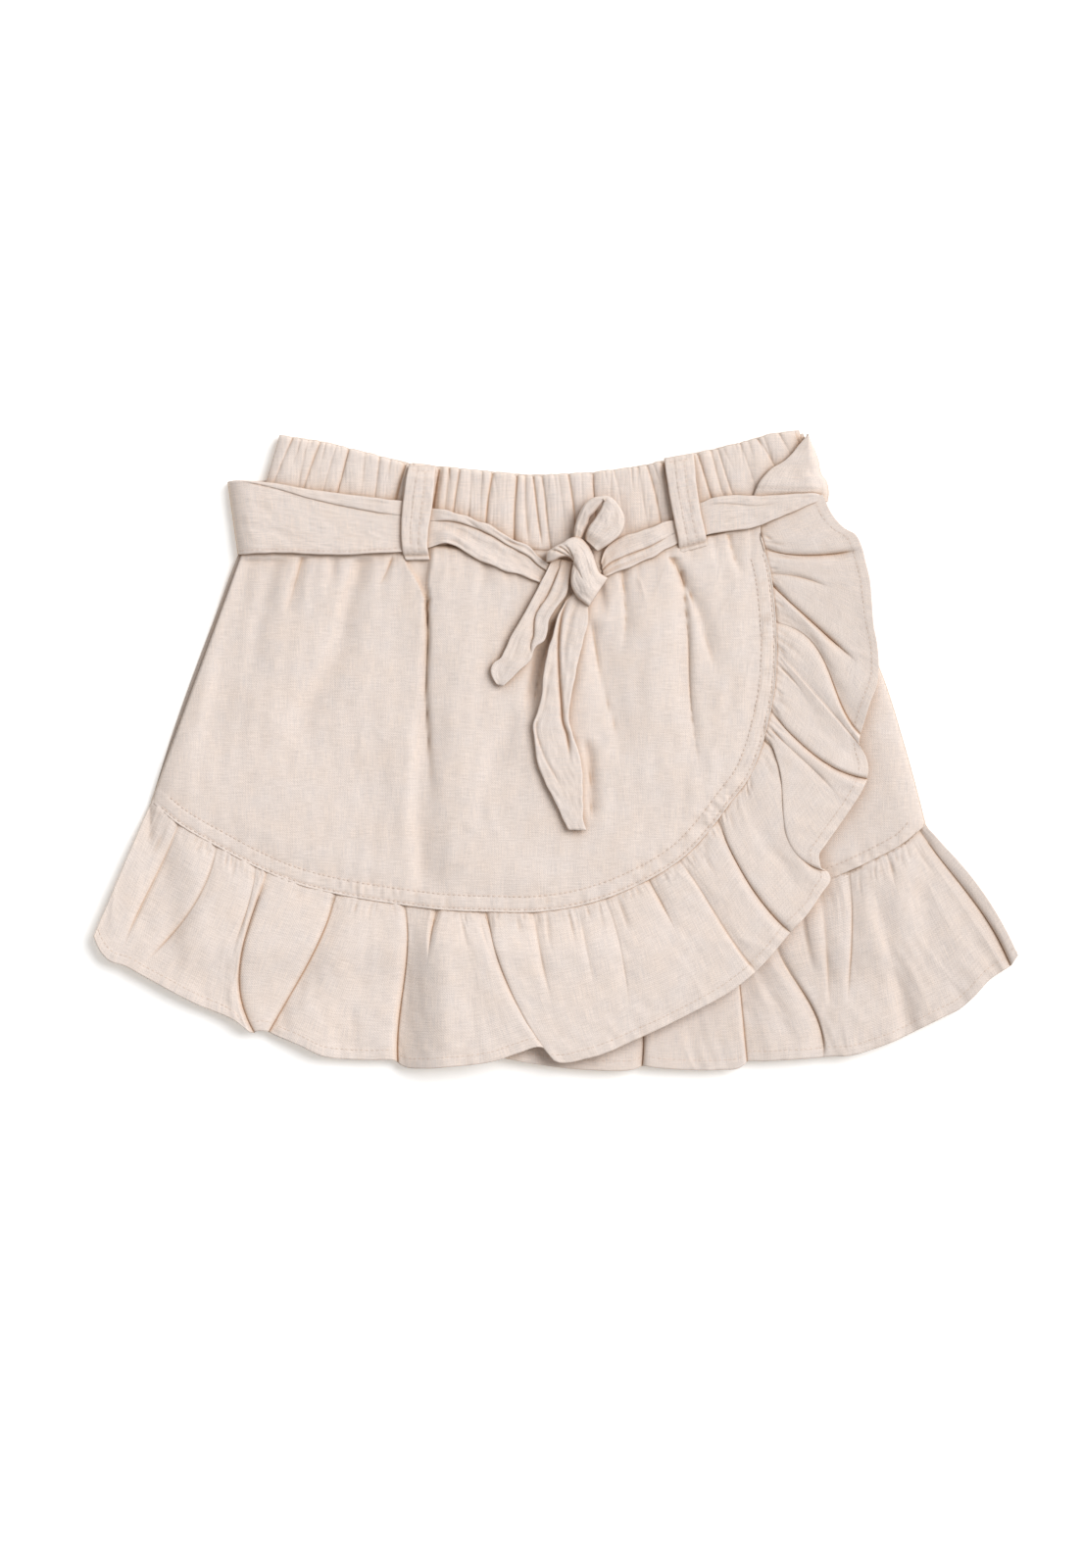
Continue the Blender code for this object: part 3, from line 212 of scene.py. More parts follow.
# Waistband: where each valley between two gathers meets the top edge, its lean to +X on the way down, its
# depth, and its lip.
GATHER_COLUMNS = ("x", "lean", "depth", "lip")
FRONT_GATHERS = [
    (-128.5, -4, 0.9, 0.3), (-121, 2, 0.6, 0.0), (-115, -3, 1.0, 0.3), (-107, -1.5, 0.6, 0.0),
    (-101, -3, 1.2, -0.4), (-93, 1, 0.5, 0.0), (-86, 1, 1.0, 0.4), (-80.5, 1, 0.5, 0.0),
    (-73.4, -5, 2.6, -0.4), (-57.0, -3.5, 2.6, 0.5), (-52, -1, 0.8, 0.0), (-47, -3, 1.0, 0.4),
    (-41.5, -1.5, 0.6, 0.0), (-36, 0, 0.4, 0.0), (-31, -3, 1.5, 0.4), (-19, -2, 1.7, -0.3),
    (-15, 1, 1.0, 0.0), (-11, 3, 1.8, 0.5), (-6.5, 2, 1.5, 0.0), (1, 1, 0.4, 0.0), (6, 2, 1.2, 0.3),
    (12.5, 0, 0.4, 0.0), (18.4, -1.5, 1.8, -0.4), (30, 0, 0.4, 0.0), (40, 0, 0.4, 0.0), (44.5, 1, 1.2, 0.3),
    (53, 1.5, 1.7, -0.5), (69, 2, 1.3, 0.5), (75.5, 1.5, 0.9, 0.0), (79, 3, 1.0, 0.3), (90, 2, 0.5, 0.0),
    (98.5, 6, 1.0, 0.4), (109, 4, 0.6, 0.0),
]
BACK_GATHER_PITCH = 8.4
BAND_ROLL = 8.0
BAND_CORNER = (116.6, 156.0)  # the front's top edge ends here, inside the belt's turn

# Belt: the two edges of each stretch, left to right or from the knot outwards. Its creases: share across
# (0 upper edge, 1 lower edge) at even steps from start to end, depth at both ends, reach towards the upper
# and the lower edge, and lip.
CREASE_COLUMNS = ("across", "start", "end", "depth0", "depth1", "left", "right", "lip")
BELT_LEFT = {
    "upper": [(-160.5, 131), (-152, 132), (-140, 131), (-118, 127), (-95, 124), (-75, 121.5), (-69, 121)],
    "lower": [(-155.5, 95.5), (-133, 96), (-104, 95), (-85, 96), (-75, 96.5), (-69, 97)],
    "creases": [
        ((0.02, 0.10, 0.18, 0.26, 0.29, 0.27), 0.06, 1.3, 0.7, 1.6, 0.9, 8.0, 0.9),
        ((0.75, 0.62, 0.60), 0.55, 1.3, 0.3, 1.1, 7.0, 5.0, 0.0),
        ((0.30, 0.50), 0.05, 0.30, 0.5, 0.2, 4.0, 4.0, 0.0),
        ((0.55, 0.80), 0.0, 0.35, 0.4, 0.3, 3.0, 3.0, 0.0),
    ],
}
BELT_INNER_LEFT = {
    "upper": [
        (-66, 119.5), (-60.5, 118), (-52, 116.6), (-44.4, 114.5), (-36.7, 111.6), (-29.8, 108.6), (-24, 105),
        (-17.7, 101.8), (-12, 98.8), (-8, 94.4), (-3, 91),
    ],
    "lower": [
        (-66, 97.2), (-61.8, 98.9), (-57.7, 100.2), (-54.5, 100.8), (-49.4, 99.6), (-43.1, 95.8),
        (-36.7, 91.9), (-29.8, 89.1), (-21.5, 86.2), (-15.2, 84.3), (-8.8, 81.8), (-5, 80),
    ],
    "creases": [
        ((0.32, 0.30, 0.23, 0.20, 0.22, 0.26, 0.30, 0.36), 0.0, 1.05, 2.6, 2.2, 0.7, 4.5, 1.1),
        ((0.40, 0.50, 0.53, 0.52, 0.50), 0.02, 0.85, 1.0, 0.6, 1.8, 2.2, 0.0),
        ((0.62, 0.72, 0.76), 0.25, 1.0, 0.5, 1.0, 3.0, 1.6, 0.0),
        ((0.10, 0.12), 0.5, 1.0, 0.3, 0.7, 1.2, 1.2, 0.2),
        ((0.05, 0.16, 0.20), 0.30, 0.55, 0.8, 0.4, 0.8, 1.0, 0.2),
        ((0.14, 0.06), 0.62, 0.82, 0.8, 0.5, 0.8, 1.0, 0.2),
        ((0.85, 0.92), 0.05, 0.42, 0.4, 0.6, 2.0, 1.2, 0.0),
    ],
}
BELT_INNER_RIGHT = {
    "upper": [(22, 92.5), (24, 98), (28, 101.5), (35, 105), (45, 108), (56, 112), (66, 114.5)],
    "lower": [(23, 84), (27, 85.5), (35, 88.6), (47, 94), (59, 100.5), (66, 104)],
    "creases": [
        ((0.52, 0.58, 0.60, 0.55, 0.50), 0.0, 1.0, 2.0, 1.2, 0.9, 3.0, 0.8),
        ((0.20, 0.30, 0.32), 0.0, 0.6, 1.0, 0.3, 1.6, 2.4, 0.0),
        ((0.80, 0.84, 0.78), 0.0, 0.8, 0.9, 0.4, 1.2, 1.2, 0.3),
    ],
}
BELT_RIGHT = {
    "upper": [
        (64.5, 120.2), (71, 121), (76, 123), (84.8, 124.3), (98.6, 124.1), (109, 124.6), (119.3, 125.2),
        (128, 125), (132.4, 123),
    ],
    "lower": [
        (64.5, 102), (74, 105), (83, 106.3), (95.4, 108.1), (107.8, 112.7), (115.2, 115.8), (126.2, 120.4),
        (131.5, 122),
    ],
    "creases": [
        ((0.16, 0.20, 0.30, 0.38), 0.0, 0.62, 0.9, 0.5, 1.0, 4.0, 0.4),
        ((0.62, 0.70, 0.62), 0.0, 0.55, 0.7, 0.3, 3.0, 3.5, 0.0),
    ],
}
BELT_CORNER = {
    "upper": [
        (122.4, 153.4), (118.6, 148.8), (112.1, 141.7), (104.1, 136.5), (100.9, 133.1), (98.2, 128.6),
        (95.0, 121.6),
    ],
    "lower": [
        (123.4, 154.2), (126.2, 147.9), (128.7, 141.1), (130.3, 134.4), (132.6, 131.4), (133.5, 127.6),
        (132.8, 121.2),
    ],
    "creases": [
        ((0.40, 0.45, 0.50), 0.15, 1.0, 0.3, 0.7, 4.0, 6.0, 0.0),
        ((0.72, 0.86, 0.90), 0.45, 1.0, 0.2, 0.7, 1.6, 1.6, 0.0),
    ],
}
BELT_BACK = {
    "upper": [(-160, 131), (-110, 133), (-50, 131), (0, 129), (50, 132), (90, 142), (121, 155)],
    "lower": [(-155, 96), (-110, 98), (-50, 97), (0, 96.5), (50, 99), (95, 108), (133, 126)],
}
TAIL_LEFT = {
    "upper": [
        (-1.5, 93.5), (-5.5, 85.4), (-9.8, 76.8), (-13.5, 69.9), (-18.4, 61.3), (-22.1, 55.2), (-24.6, 49),
        (-27.2, 44.6), (-30.1, 42.8), (-31.7, 39.1), (-30.8, 34.8), (-29, 32),
    ],
    "lower": [
        (8.4, 92), (7.2, 86), (6.4, 81), (5.2, 76), (-0.5, 68.1), (-3.3, 63.2), (-4.0, 57.6), (-5.6, 53.2),
        (-9.2, 50.8), (-12.2, 44), (-18.4, 38), (-25.5, 31),
    ],
    "creases": [
        ((0.50, 0.49, 0.45, 0.46, 0.44, 0.54, 0.70, 0.95), 0.0, 0.70, 2.4, 1.6, 3.2, 0.6, -0.8),
        ((0.20, 0.22), 0.0, 0.35, 0.8, 0.3, 1.8, 1.8, 0.0),
        ((0.78, 0.74, 0.72), 0.0, 0.50, 0.9, 0.4, 1.4, 1.2, 0.0),
        ((0.35, 0.30, 0.42), 0.55, 1.0, 0.3, 0.5, 3.0, 3.0, 0.0),
    ],
}
TAIL_RIGHT = {
    "upper": [
        (9.0, 77), (5.0, 73.7), (1.3, 68.1), (-2.4, 55.7), (-5.2, 44), (-6.1, 37.2), (-7.2, 26), (-9.0, 18.5),
        (-11.4, 12.6), (-10.5, 4), (-9.3, -5.3), (-5.9, -14.5), (-2.2, -21.9), (1.5, -29.3), (6, -39),
    ],
    "lower": [
        (16.5, 73.5), (15.9, 68.7), (15.5, 61.3), (13.7, 53.9), (11.8, 46.5), (9.4, 35.4), (7.2, 24),
        (6.5, 15.1), (8.3, 7.7), (11.4, -1.5), (13.0, -10.2), (13.3, -17.6), (13.3, -26.9), (13.9, -36.1),
        (15.1, -39.2),
    ],
    "creases": [
        ((0.05, 0.13, 0.22, 0.40, 0.56, 0.74, 0.84, 0.76), 0.0, 0.68, 2.2, 2.4, 1.8, 1.2, 0.9),
        ((0.50, 0.44, 0.50, 0.66), 0.0, 0.34, 1.1, 0.4, 1.4, 1.4, 0.0),
        ((0.10, 0.08, 0.18, 0.30, 0.42), 0.52, 0.84, 0.8, 0.5, 0.9, 1.2, 0.3),
        ((0.18, 0.16), 0.25, 0.52, 0.3, 0.5, 1.0, 1.0, 0.0),
    ],
}
FRONT_LOOPS = {
    "belt_loop_front_right": {
        "upper": [(-71.9, 138.9), (-74.6, 121), (-75.5, 108.4), (-74.6, 96.4), (-73.5, 92.6)],
        "lower": [(-58.6, 138.4), (-60.2, 118.6), (-62.0, 107), (-62.4, 98.3), (-61.2, 92.8)],
    },
    "belt_loop_front_left": {
        "upper": [(52.8, 142.4), (55, 126), (57.6, 112), (59.4, 103), (60.6, 95.8)],
        "lower": [(67.4, 145.0), (68.6, 130), (70.8, 116), (73.0, 106), (74.2, 99.6)],
    },
}
BACK_LOOPS = {
    "belt_loop_back_right": {"upper": [(-68.6, 139), (-71.6, 92)], "lower": [(-55, 139), (-58, 92)]},
    "belt_loop_back_left": {"upper": [(51, 141), (55, 95)], "lower": [(64.6, 141), (68.6, 95)]},
}

# Knot: the belt comes over from the left, where it is pinched, and folds down to the right.
KNOT = {
    "upper": [
        (-4.6, 96.2), (-1.9, 98.4), (0.5, 100.1), (3.4, 101.3), (6.2, 103.0), (9.6, 103.7), (13.0, 102.5),
        (16.3, 99.1), (18.2, 95.3), (19.7, 90.5), (21.4, 86.6), (25.4, 83.8),
    ],
    "lower": [
        (-4.6, 91.4), (-1.0, 92.1), (2.6, 93.6), (6.2, 93.8), (8.6, 91.2), (8.0, 89.0), (7.4, 85.4),
        (7.4, 80.1), (10.4, 74.6), (16.1, 69.8),
    ],
    "creases": [
        ((0.0, 0.3, 0.7, 1.0), 0.03, 0.28, 1.3, 1.3, 0.8, 1.2, 0.3),
        ((0.0, 0.3, 0.7, 1.0), 0.12, 0.34, 1.4, 1.4, 0.8, 1.2, 0.3),
        ((0.1, 0.45, 0.8, 1.0), 0.20, 0.40, 1.0, 1.3, 0.8, 1.2, 0.2),
        ((0.97, 0.74, 0.62, 0.58), 0.36, 0.78, 2.0, 0.4, 1.0, 2.6, 0.4),
        ((0.30, 0.34, 0.30), 0.45, 1.0, 0.4, 0.5, 2.5, 2.5, 0.0),
        ((0.78, 0.84, 0.80), 0.60, 1.0, 0.4, 0.6, 1.5, 1.5, 0.0),
    ],
}
KNOT_LOW = 12.5
KNOT_EDGE = 2.4
KNOT_CROWN = 3.8
BOW_LOW = 13.2
BOW = {
    "upper": [
        (8.6, 102.4), (9.6, 110.6), (11.5, 115.4), (14.4, 120.2), (17.8, 122.6), (21, 123.4), (25.4, 123.6),
        (30.7, 119.3), (33.6, 113), (33.1, 108.2), (31.2, 104.4), (26.4, 100.6), (20.6, 96.4),
    ],
    "lower": [
        (12.5, 103), (14.4, 106.8), (15.8, 110.2), (16.3, 113), (18.7, 115.4), (21.1, 118.4), (22.8, 121.6),
        (21.8, 117.8), (18.9, 113), (16.4, 109.2), (14.9, 106.2), (14.4, 104.4), (14.4, 102.4),
    ],
    "creases": [
        ((0.45, 0.40), 0.0, 0.40, 0.6, 0.4, 0.8, 1.2, 0.0),
        ((0.30, 0.42, 0.55), 0.55, 1.0, 0.4, 0.9, 1.6, 2.6, 0.0),
    ],
}


# ---------------------------------------------------------------- curves and profiles
# A valley's profile: how deep its soft sides are, how deep the sharp line at its foot, and the line's reach.
CREASED, SOFT = (0.62, 0.38, 0.6), (1.0, 0.0, 1.0)
RUFFLE_CREASED, RUFFLE_SOFT = (0.55, 0.36, 0.5), (0.55, 0.0, 0.5)
BAND_CREASED = (0.5, 0.75, 0.45)


def reached(line):
    """The length reached at each point of a line."""
    return np.concatenate([[0.0], np.cumsum(np.linalg.norm(np.diff(line, axis=0), axis=1))])


def read_at(place, lengths, rows):
    """The rows' columns at a place, each row being at its length."""
    return np.stack([np.interp(place, lengths, column) for column in rows.T], axis=-1)


def toward(start, end, share):
    return start + (end - start) * share


def smooth_path(points, per_span=24):
    """Points along the smooth curve through the given ones, and the length reached at each."""
    points = np.array(points, float)
    knots = reached(points[:, :2])
    slopes = np.gradient(points, knots, axis=0)
    path = []
    for k in range(len(points) - 1):
        span = knots[k + 1] - knots[k]
        t = np.arange(per_span)[:, None] / per_span
        path.append(
            (2 * t**3 - 3 * t**2 + 1) * points[k]
            + (t**3 - 2 * t**2 + t) * span * slopes[k]
            + (3 * t**2 - 2 * t**3) * points[k + 1]
            + (t**3 - t**2) * span * slopes[k + 1]
        )
    path = np.concatenate([*path, points[-1:]])
    return path, reached(path[:, :2])


def curve(points):
    """A function that gives the curve's point at each share of its length."""
    path, lengths = smooth_path(points)
    shares = lengths / lengths[-1]

    def at(share):
        return read_at(share, shares, path)

    at.length = lengths[-1]
    return at


def reader(points, given, wanted):
    """A function from one coordinate of a curve to another."""
    path, _ = smooth_path(points)
    order = np.argsort(path[:, given])
    return lambda place: np.interp(place, path[order, given], path[order, wanted])


def x_of_y(points):
    return reader(points, 1, 0)


def y_of_x(points):
    return reader(points, 0, 1)


def ease(share):
    """0 to 1, smooth at both ends."""
    share = np.clip(share, 0.0, 1.0)
    return share * share * (3 - 2 * share)


def roll(distance, width=SIDE_ROLL):
    """0 at a folded edge, rising like a quarter circle to 1 at width from it."""
    inward = 1 - np.clip(distance / width, 0.0, 1.0)
    return np.sqrt(np.clip(1 - inward**2, 0.0, 1.0))


def bump(distance, left, right):
    """A ridge 1 high, with its own reach to the left and to the right."""
    return np.exp(-((distance / np.where(distance < 0, left, right)) ** 2))


def fold(distance, left, right, profile):
    """How deep a valley is, as a share of its stated depth."""
    soft, sharp, line = profile
    return soft * bump(distance, left, right) + sharp * np.exp(-np.abs(distance) / line)


def hang(distance, lip, left, right):
    """How far the cloth beside a valley is carried over it, to the right where lip is above 0."""
    reach, beside = (left, distance < 0) if lip > 0 else (right, distance > 0)
    share = np.abs(distance) / reach
    return np.where(beside, lip * share * np.exp(1 - share), 0.0)


def rows_of(table, columns):
    return [dict(zip(columns, row)) for row in table]


def waves(x, y, length, seed):
    """A smooth uneven field, mostly from -1 to 1, with hills about length apart."""
    draw = np.random.default_rng(seed)
    total = np.zeros_like(x)
    for _ in range(10):
        angle, phase = draw.uniform(0, 2 * math.pi, 2)
        number = 2 * math.pi / (length * draw.uniform(0.7, 1.6))
        total = total + np.sin(number * (x * math.cos(angle) + y * math.sin(angle)) + phase)
    return total / 4.0


def crumple(x, y, length, seed):
    """Soft creases from 0 to 1: ridges where an uneven field changes sign."""
    field = waves(x, y, length, seed)
    return np.exp(-((field / 0.22) ** 2)) * (0.5 + 0.5 * waves(x, y, 2.3 * length, seed + 1))


# Uneven fields of each kind of cloth: height, length, squeeze along x and along y, and seed, which is added
# to the piece's own where it has one.
SWELLS = {
    "wrap": [(0.35, 46, 1, 1, 3)],
    "wrap_fine": [(0.14, 15, 1.6, 0.7, 4)],
    "inner": [(0.25, 40, 1, 1, 21), (0.12, 14, 1, 1, 22)],
    "back": [(0.12, 30, 1, 1, 41)],
    "shorts_back": [(0.12, 34, 1, 1, 61)],
    "shorts_front": [(0.12, 34, 1, 1, 62)],
    "ruffle": [(0.45, 26, 1, 0.5, 1), (0.16, 9, 1, 0.6, 2)],
    "back_ruffle": [(0.15, 16, 1, 1, 81)],
    "waistband": [(0.22, 13, 1.5, 0.5, 1), (0.10, 9, 0.4, 2.2, 2), (0.07, 5, 3.0, 0.3, 3)],
    "ribbon": [(0.16, 11, 1, 1, 0), (0.09, 5, 1, 2.0, 2)],
}
CRUMPLES = {
    "wrap": [(0.22, 26, 1.3, 0.8, 5)],
    "ruffle": [(0.25, 22, 1, 0.45, 3)],
    "ruffle_seam": [(0.42, 6.5, 1, 0.8, 5)],
    "ribbon": [(0.2, 15, 1, 1.5, 1)],
}


def uneven(field, rows, x, y, seed):
    return sum(
        height * field(x * wide, y * tall, length, seed + own) for height, length, wide, tall, own in rows
    )


def swells(kind, x, y, seed=0):
    return uneven(waves, SWELLS[kind], x, y, seed)


def crumples(kind, x, y, seed=0):
    return uneven(crumple, CRUMPLES[kind], x, y, seed)


def denser(length, places, plain, fine, reach):
    """Shares of length with steps of plain, and of fine within reach of each place."""
    samples = 8000
    share = np.linspace(0.0, 1.0, samples + 1)
    near = np.min(np.abs(share[:, None] - np.asarray(places)[None, :]), axis=1) * length
    step = toward(fine, plain, ease((near - reach) / (2 * plain)))
    count = np.concatenate([[0.0], np.cumsum(length / samples / ((step[1:] + step[:-1]) / 2))])
    return np.interp(np.linspace(0.0, count[-1], int(count[-1]) + 2), count, share)


def even_grid(columns, rows):
    return np.meshgrid(np.linspace(0, 1, columns), np.linspace(0, 1, rows))


left_x, right_x = x_of_y(LEFT_SIDE), x_of_y(RIGHT_SIDE)
pleat_left, pleat_right = x_of_y(PLEAT_LEFT), x_of_y(PLEAT_RIGHT)
inner_seam_y = y_of_x(INNER_SEAM)
waist_y = y_of_x(WAIST_SEAM)
belt_back_y = y_of_x(BELT_BACK["lower"])


def under_waist(x0, x1):
    return curve([(x, float(waist_y(x)) - SEAM_GAP) for x in np.linspace(x0, x1, 12)])


def between(upper, lower, u, v):
    return np.moveaxis(toward(upper(u), lower(u), v[..., None]), -1, 0)


# ---------------------------------------------------------------- how high the layers lie, as in the solids
SHORTS_SPAN = (-192.0, 183.0)  # in x, with the cloth that lies over them
OVER_LEG_HEM = (24.0, 22.0)  # that cloth starts to rise this far below the legs' hem, over this length
OVER_SIDE = 18.0
WRAP_ON_INNER = (-78.0, 26.0)  # the inner panel's edge lifts the wrap from this x on, over this width


def waist_share(x, y):
    foot = np.minimum(waist_y(x), belt_back_y(x)) - 1.0
    return ease(1 - (foot - y) / WAIST_RISE)


def over_shorts(x, y):
    below, rise = OVER_LEG_HEM
    sides = ease((x - SHORTS_SPAN[0]) / OVER_SIDE) * ease((SHORTS_SPAN[1] - x) / OVER_SIDE)
    return ease((y - LEG_HEM_Y + below) / rise) * sides


def layer_low(name, x, y):
    return toward(FLAT_LOW[name], WAIST_LOW[name], waist_share(x, y))


def side_low(x, y):
    return layer_low("back", x, y) + CLOTH + SEAM_GAP


def over_inner(x):
    start, width = WRAP_ON_INNER
    return ease((x - start) / width)


def hem_low(x, y):
    """Under the part of a ruffle that has only the shorts, or nothing, below it."""
    return toward(HEM_LOW, FLAT_LOW["inner"], over_shorts(x, y))


# ---------------------------------------------------------------- linen
LINEN = (0.785, 0.662, 0.557)
WARMER = (0.985, 0.945, 0.90)  # the cloth varies between its own colour and this share of it
PAINTED_CREASE_SHADE = (0.74, 0.60, 0.465)  # painted shade: the colour is made darker and warmer deep in a crease, where shade falls
PAINTED_SHADE_FULL_DEPTH = 1.1  # depth, millimetres, at which the painted crease shade is full
CREASE_REACH = 1.3  # the depth is taken against the cloth this far to either side
PAINTED_SHADE_REACH = 10.0  # painted shade: cloth within this many millimetres darkens the colour with the same tint, found by ambient occlusion
PAINTED_SHADE_SHARE = 1.5  # how strongly, for the share of the view that it hides
THREAD_PITCH = 0.56
# Noise: its length along x and along y in millimetres, its detail, and its shift.
WARP, WEFT = (0.5, 9, 1.0, 1.0), (7, 0.5, 1.0, 5.0)
GRAIN, MOTTLE = (0.55, 0.55, 3.0, 9.0), (16, 16, 2.0, 13.0)
LINEN_SURFACE = {
    "Roughness": 0.93, "Specular IOR Level": 0.18, "Sheen Weight": 0.12, "Sheen Roughness": 0.6,
}
THREAD_SURFACE = {"Roughness": 0.7, "Sheen Weight": 0.2}
THREAD_COLOURS = ((0.60, 0.47, 0.37, 1), (0.82, 0.69, 0.58, 1))


def new_material(name, surface):
    material = bpy.data.materials.new(name)
    material.use_nodes = True
    shader = material.node_tree.nodes["Principled BSDF"]
    for socket, value in surface.items():
        shader.inputs[socket].default_value = value
    return material, shader


def adder(material):
    """A function that adds a node to the material, whose inputs are values or other nodes' outputs."""
    nodes, links = material.node_tree.nodes, material.node_tree.links

    def add(kind, inputs, **settings):
        node = nodes.new("ShaderNode" + kind)
        for name, value in settings.items():
            setattr(node, name, value)
        for socket, value in inputs.items():
            if isinstance(value, bpy.types.NodeSocket):
                links.new(value, node.inputs[socket])
            else:
                node.inputs[socket].default_value = value
        return node

    return add


def linen(name, seed, tint=1.0):
    """Plain-woven linen: streaks along both threads, grain, mottle and weave, in the cloth's own metres, and
    painted shade: a darker, warmer colour in creases and near other cloth, where shade falls."""
    material, shader = new_material(name, LINEN_SURFACE)
    add, links = adder(material), material.node_tree.links
    place = add("UVMap", {}, uv_map="cloth").outputs[0]

    def calculate(operation, *values):
        return add("Math", dict(enumerate(values)), operation=operation).outputs[0]

    def total(first, *others):
        """The sum of fields, each times its share, and of a plain number."""
        result = calculate("MULTIPLY", *first)
        for part in others:
            term = calculate("MULTIPLY", *part) if isinstance(part, tuple) else part
            result = calculate("ADD", result, term)
        return result

    def noise(wide, tall, detail, shift):
        moved = add("Mapping", {
            "Vector": place,
            "Scale": (1 / wide / MM, 1 / tall / MM, 1.0),
            "Location": (seed * 3.7 + shift, seed * 1.9 - shift, shift),
        })
        inputs = {"Vector": moved.outputs[0], "Scale": 1.0, "Detail": detail, "Roughness": 0.6}
        return calculate("SUBTRACT", add("TexNoise", inputs).outputs["Fac"], 0.5)

    def mix(kind, a, b, factor):
        inputs = {"A": a, "B": b, "Factor": factor}
        return add("Mix", inputs, data_type="RGBA", blend_type=kind).outputs["Result"]

    warp, weft, grain, mottle = (noise(*field) for field in (WARP, WEFT, GRAIN, MOTTLE))
    number = math.pi / (THREAD_PITCH * MM)
    split = add("SeparateXYZ", {0: place})
    over, under = (calculate("SINE", calculate("MULTIPLY", split.outputs[k], number)) for k in (0, 1))
    weave = calculate("MULTIPLY", over, under)
    streaks = calculate("ADD", warp, weft)

    own = [channel * tint for channel in LINEN]
    warmer = [channel * share * tint for channel, share in zip(LINEN, WARMER)]
    colour = mix("MIX", (*own, 1), (*warmer, 1), total((calculate("ADD", mottle, warp), 1.6), 0.5))
    light = total((streaks, 0.32), (grain, 0.42), (mottle, 0.05), (weave, 0.03), 1.0)
    colour = mix("MULTIPLY", colour, light, 1.0)
    # Painted shade: the colour is darkened and warmed by the crease mask and by ambient occlusion from nearby
    # cloth.
    sunk = add("Attribute", {}, attribute_name="sunk").outputs["Fac"]
    near = add("AmbientOcclusion", {"Distance": PAINTED_SHADE_REACH * MM}, samples=6).outputs["AO"]
    shade = calculate("MULTIPLY", calculate("SUBTRACT", 1.0, near), PAINTED_SHADE_SHARE)
    colour = mix("MULTIPLY", colour, (*PAINTED_CREASE_SHADE, 1), calculate("MAXIMUM", sunk, shade))
    links.new(colour, shader.inputs["Base Color"])

    height = total((weave, 0.5), (streaks, 1.2), (grain, 1.0))
    relief = add("Bump", {"Strength": 0.55, "Distance": 0.12 * MM, "Height": height})
    links.new(relief.outputs[0], shader.inputs["Normal"])
    return material


def thread(name):
    """Sewing thread, lighter and darker along its ply."""
    material, shader = new_material(name, THREAD_SURFACE)
    add = adder(material)
    place = add("UVMap", {}, uv_map="cloth").outputs[0]
    scale = (1 / (0.4 * MM), 1 / (1.5 * MM), 1.0)
    moved = add("Mapping", {"Vector": place, "Scale": scale}).outputs[0]
    ramp = add("ValToRGB", {"Fac": add("TexNoise", {"Vector": moved, "Scale": 1.0}).outputs["Fac"]})
    for element, colour in zip(ramp.color_ramp.elements, THREAD_COLOURS):
        element.color = colour
    material.node_tree.links.new(ramp.outputs[0], shader.inputs["Base Color"])
    return material


# ---------------------------------------------------------------- building
def plan_grain(points):
    """The weave runs with the plan's axes."""
    return points[..., :2] * MM


def strip_grain(points):
    """The weave runs along and across the piece, at its lengths in space."""
    across = np.linalg.norm(np.diff(points, axis=1), axis=-1).mean(axis=0)
    down = np.linalg.norm(np.diff(points, axis=0), axis=-1).mean(axis=1)
    u, v = (np.concatenate([[0.0], np.cumsum(steps)]) for steps in (across, down))
    return np.stack(np.meshgrid(u, v), axis=-1) * MM


def crease_shade_mask(points):
    """How deep in a crease each point lies, by the cloth a little to either side of it: 0 to 1. It is the
    mask of the painted crease shade.
    """
    none = -99.0
    deepest = np.zeros(points.shape[:2])
    for grid, depth in ((points, deepest), (points.transpose(1, 0, 2), deepest.T)):
        for row, kept in zip(grid, depth):
            length = reached(row[:, :2])
            before = np.interp(length - CREASE_REACH, length, row[:, 2], left=none)
            after = np.interp(length + CREASE_REACH, length, row[:, 2], right=none)
            lower, mean = np.minimum(before, after), (before + after) / 2
            below = np.where(lower > none + 9, 0.6 * lower + 0.4 * mean - row[:, 2], 0.0)
            kept[:] = np.maximum(kept, below)
    return ease(deepest / PAINTED_SHADE_FULL_DEPTH)


def add_piece(name, mesh, uvs, material):
    """A piece that rides on the garment's one body, with each vertex's place on the cloth."""
    corners = np.empty(len(mesh.loops), np.int32)
    mesh.loops.foreach_get("vertex_index", corners)
    mesh.uv_layers.new(name="cloth").data.foreach_set("uv", uvs[corners].ravel())
    mesh.shade_smooth()
    mesh.materials.append(material)
    obj = bpy.data.objects.new(name, mesh)
    garment.objects.link(obj)
    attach(obj, "root")
    return obj


def cloth(name, points, grain, material, wall=SHELL):
    """A closed thin shell whose upper face is the grid of points: rows down, columns across."""
    uv = grain(points)
    ahead, down = points[1:-1, 2:] - points[1:-1, :-2], points[2:, 1:-1] - points[:-2, 1:-1]
    if np.cross(down, ahead)[..., 2].mean() < 0:
        points, uv = points[::-1], uv[::-1]
    rows, columns = points.shape[:2]
    bm = bmesh.new()
    bmesh.ops.create_grid(bm, x_segments=columns - 1, y_segments=rows - 1, size=0.5)
    mesh = bpy.data.meshes.new(name)
    bm.to_mesh(mesh)
    bm.free()
    mesh.vertices.foreach_set("co", (points[::-1] * MM).ravel())
    # The sunk attribute is the mask of the painted crease shade in the material.
    sunk = mesh.attributes.new("sunk", "FLOAT", "POINT")
    sunk.data.foreach_set("value", crease_shade_mask(points)[::-1].ravel())
    obj = add_piece(name, mesh, uv[::-1].reshape(-1, 2), material)
    mesh.update()
    shell = obj.modifiers.new("shell", "SOLIDIFY")
    shell.thickness = wall * MM
    shell.offset = -1.0
    return obj


def declare(nodes):
    """Hides the imported solids of the parts that the piece stands for."""
    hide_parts(*nodes)


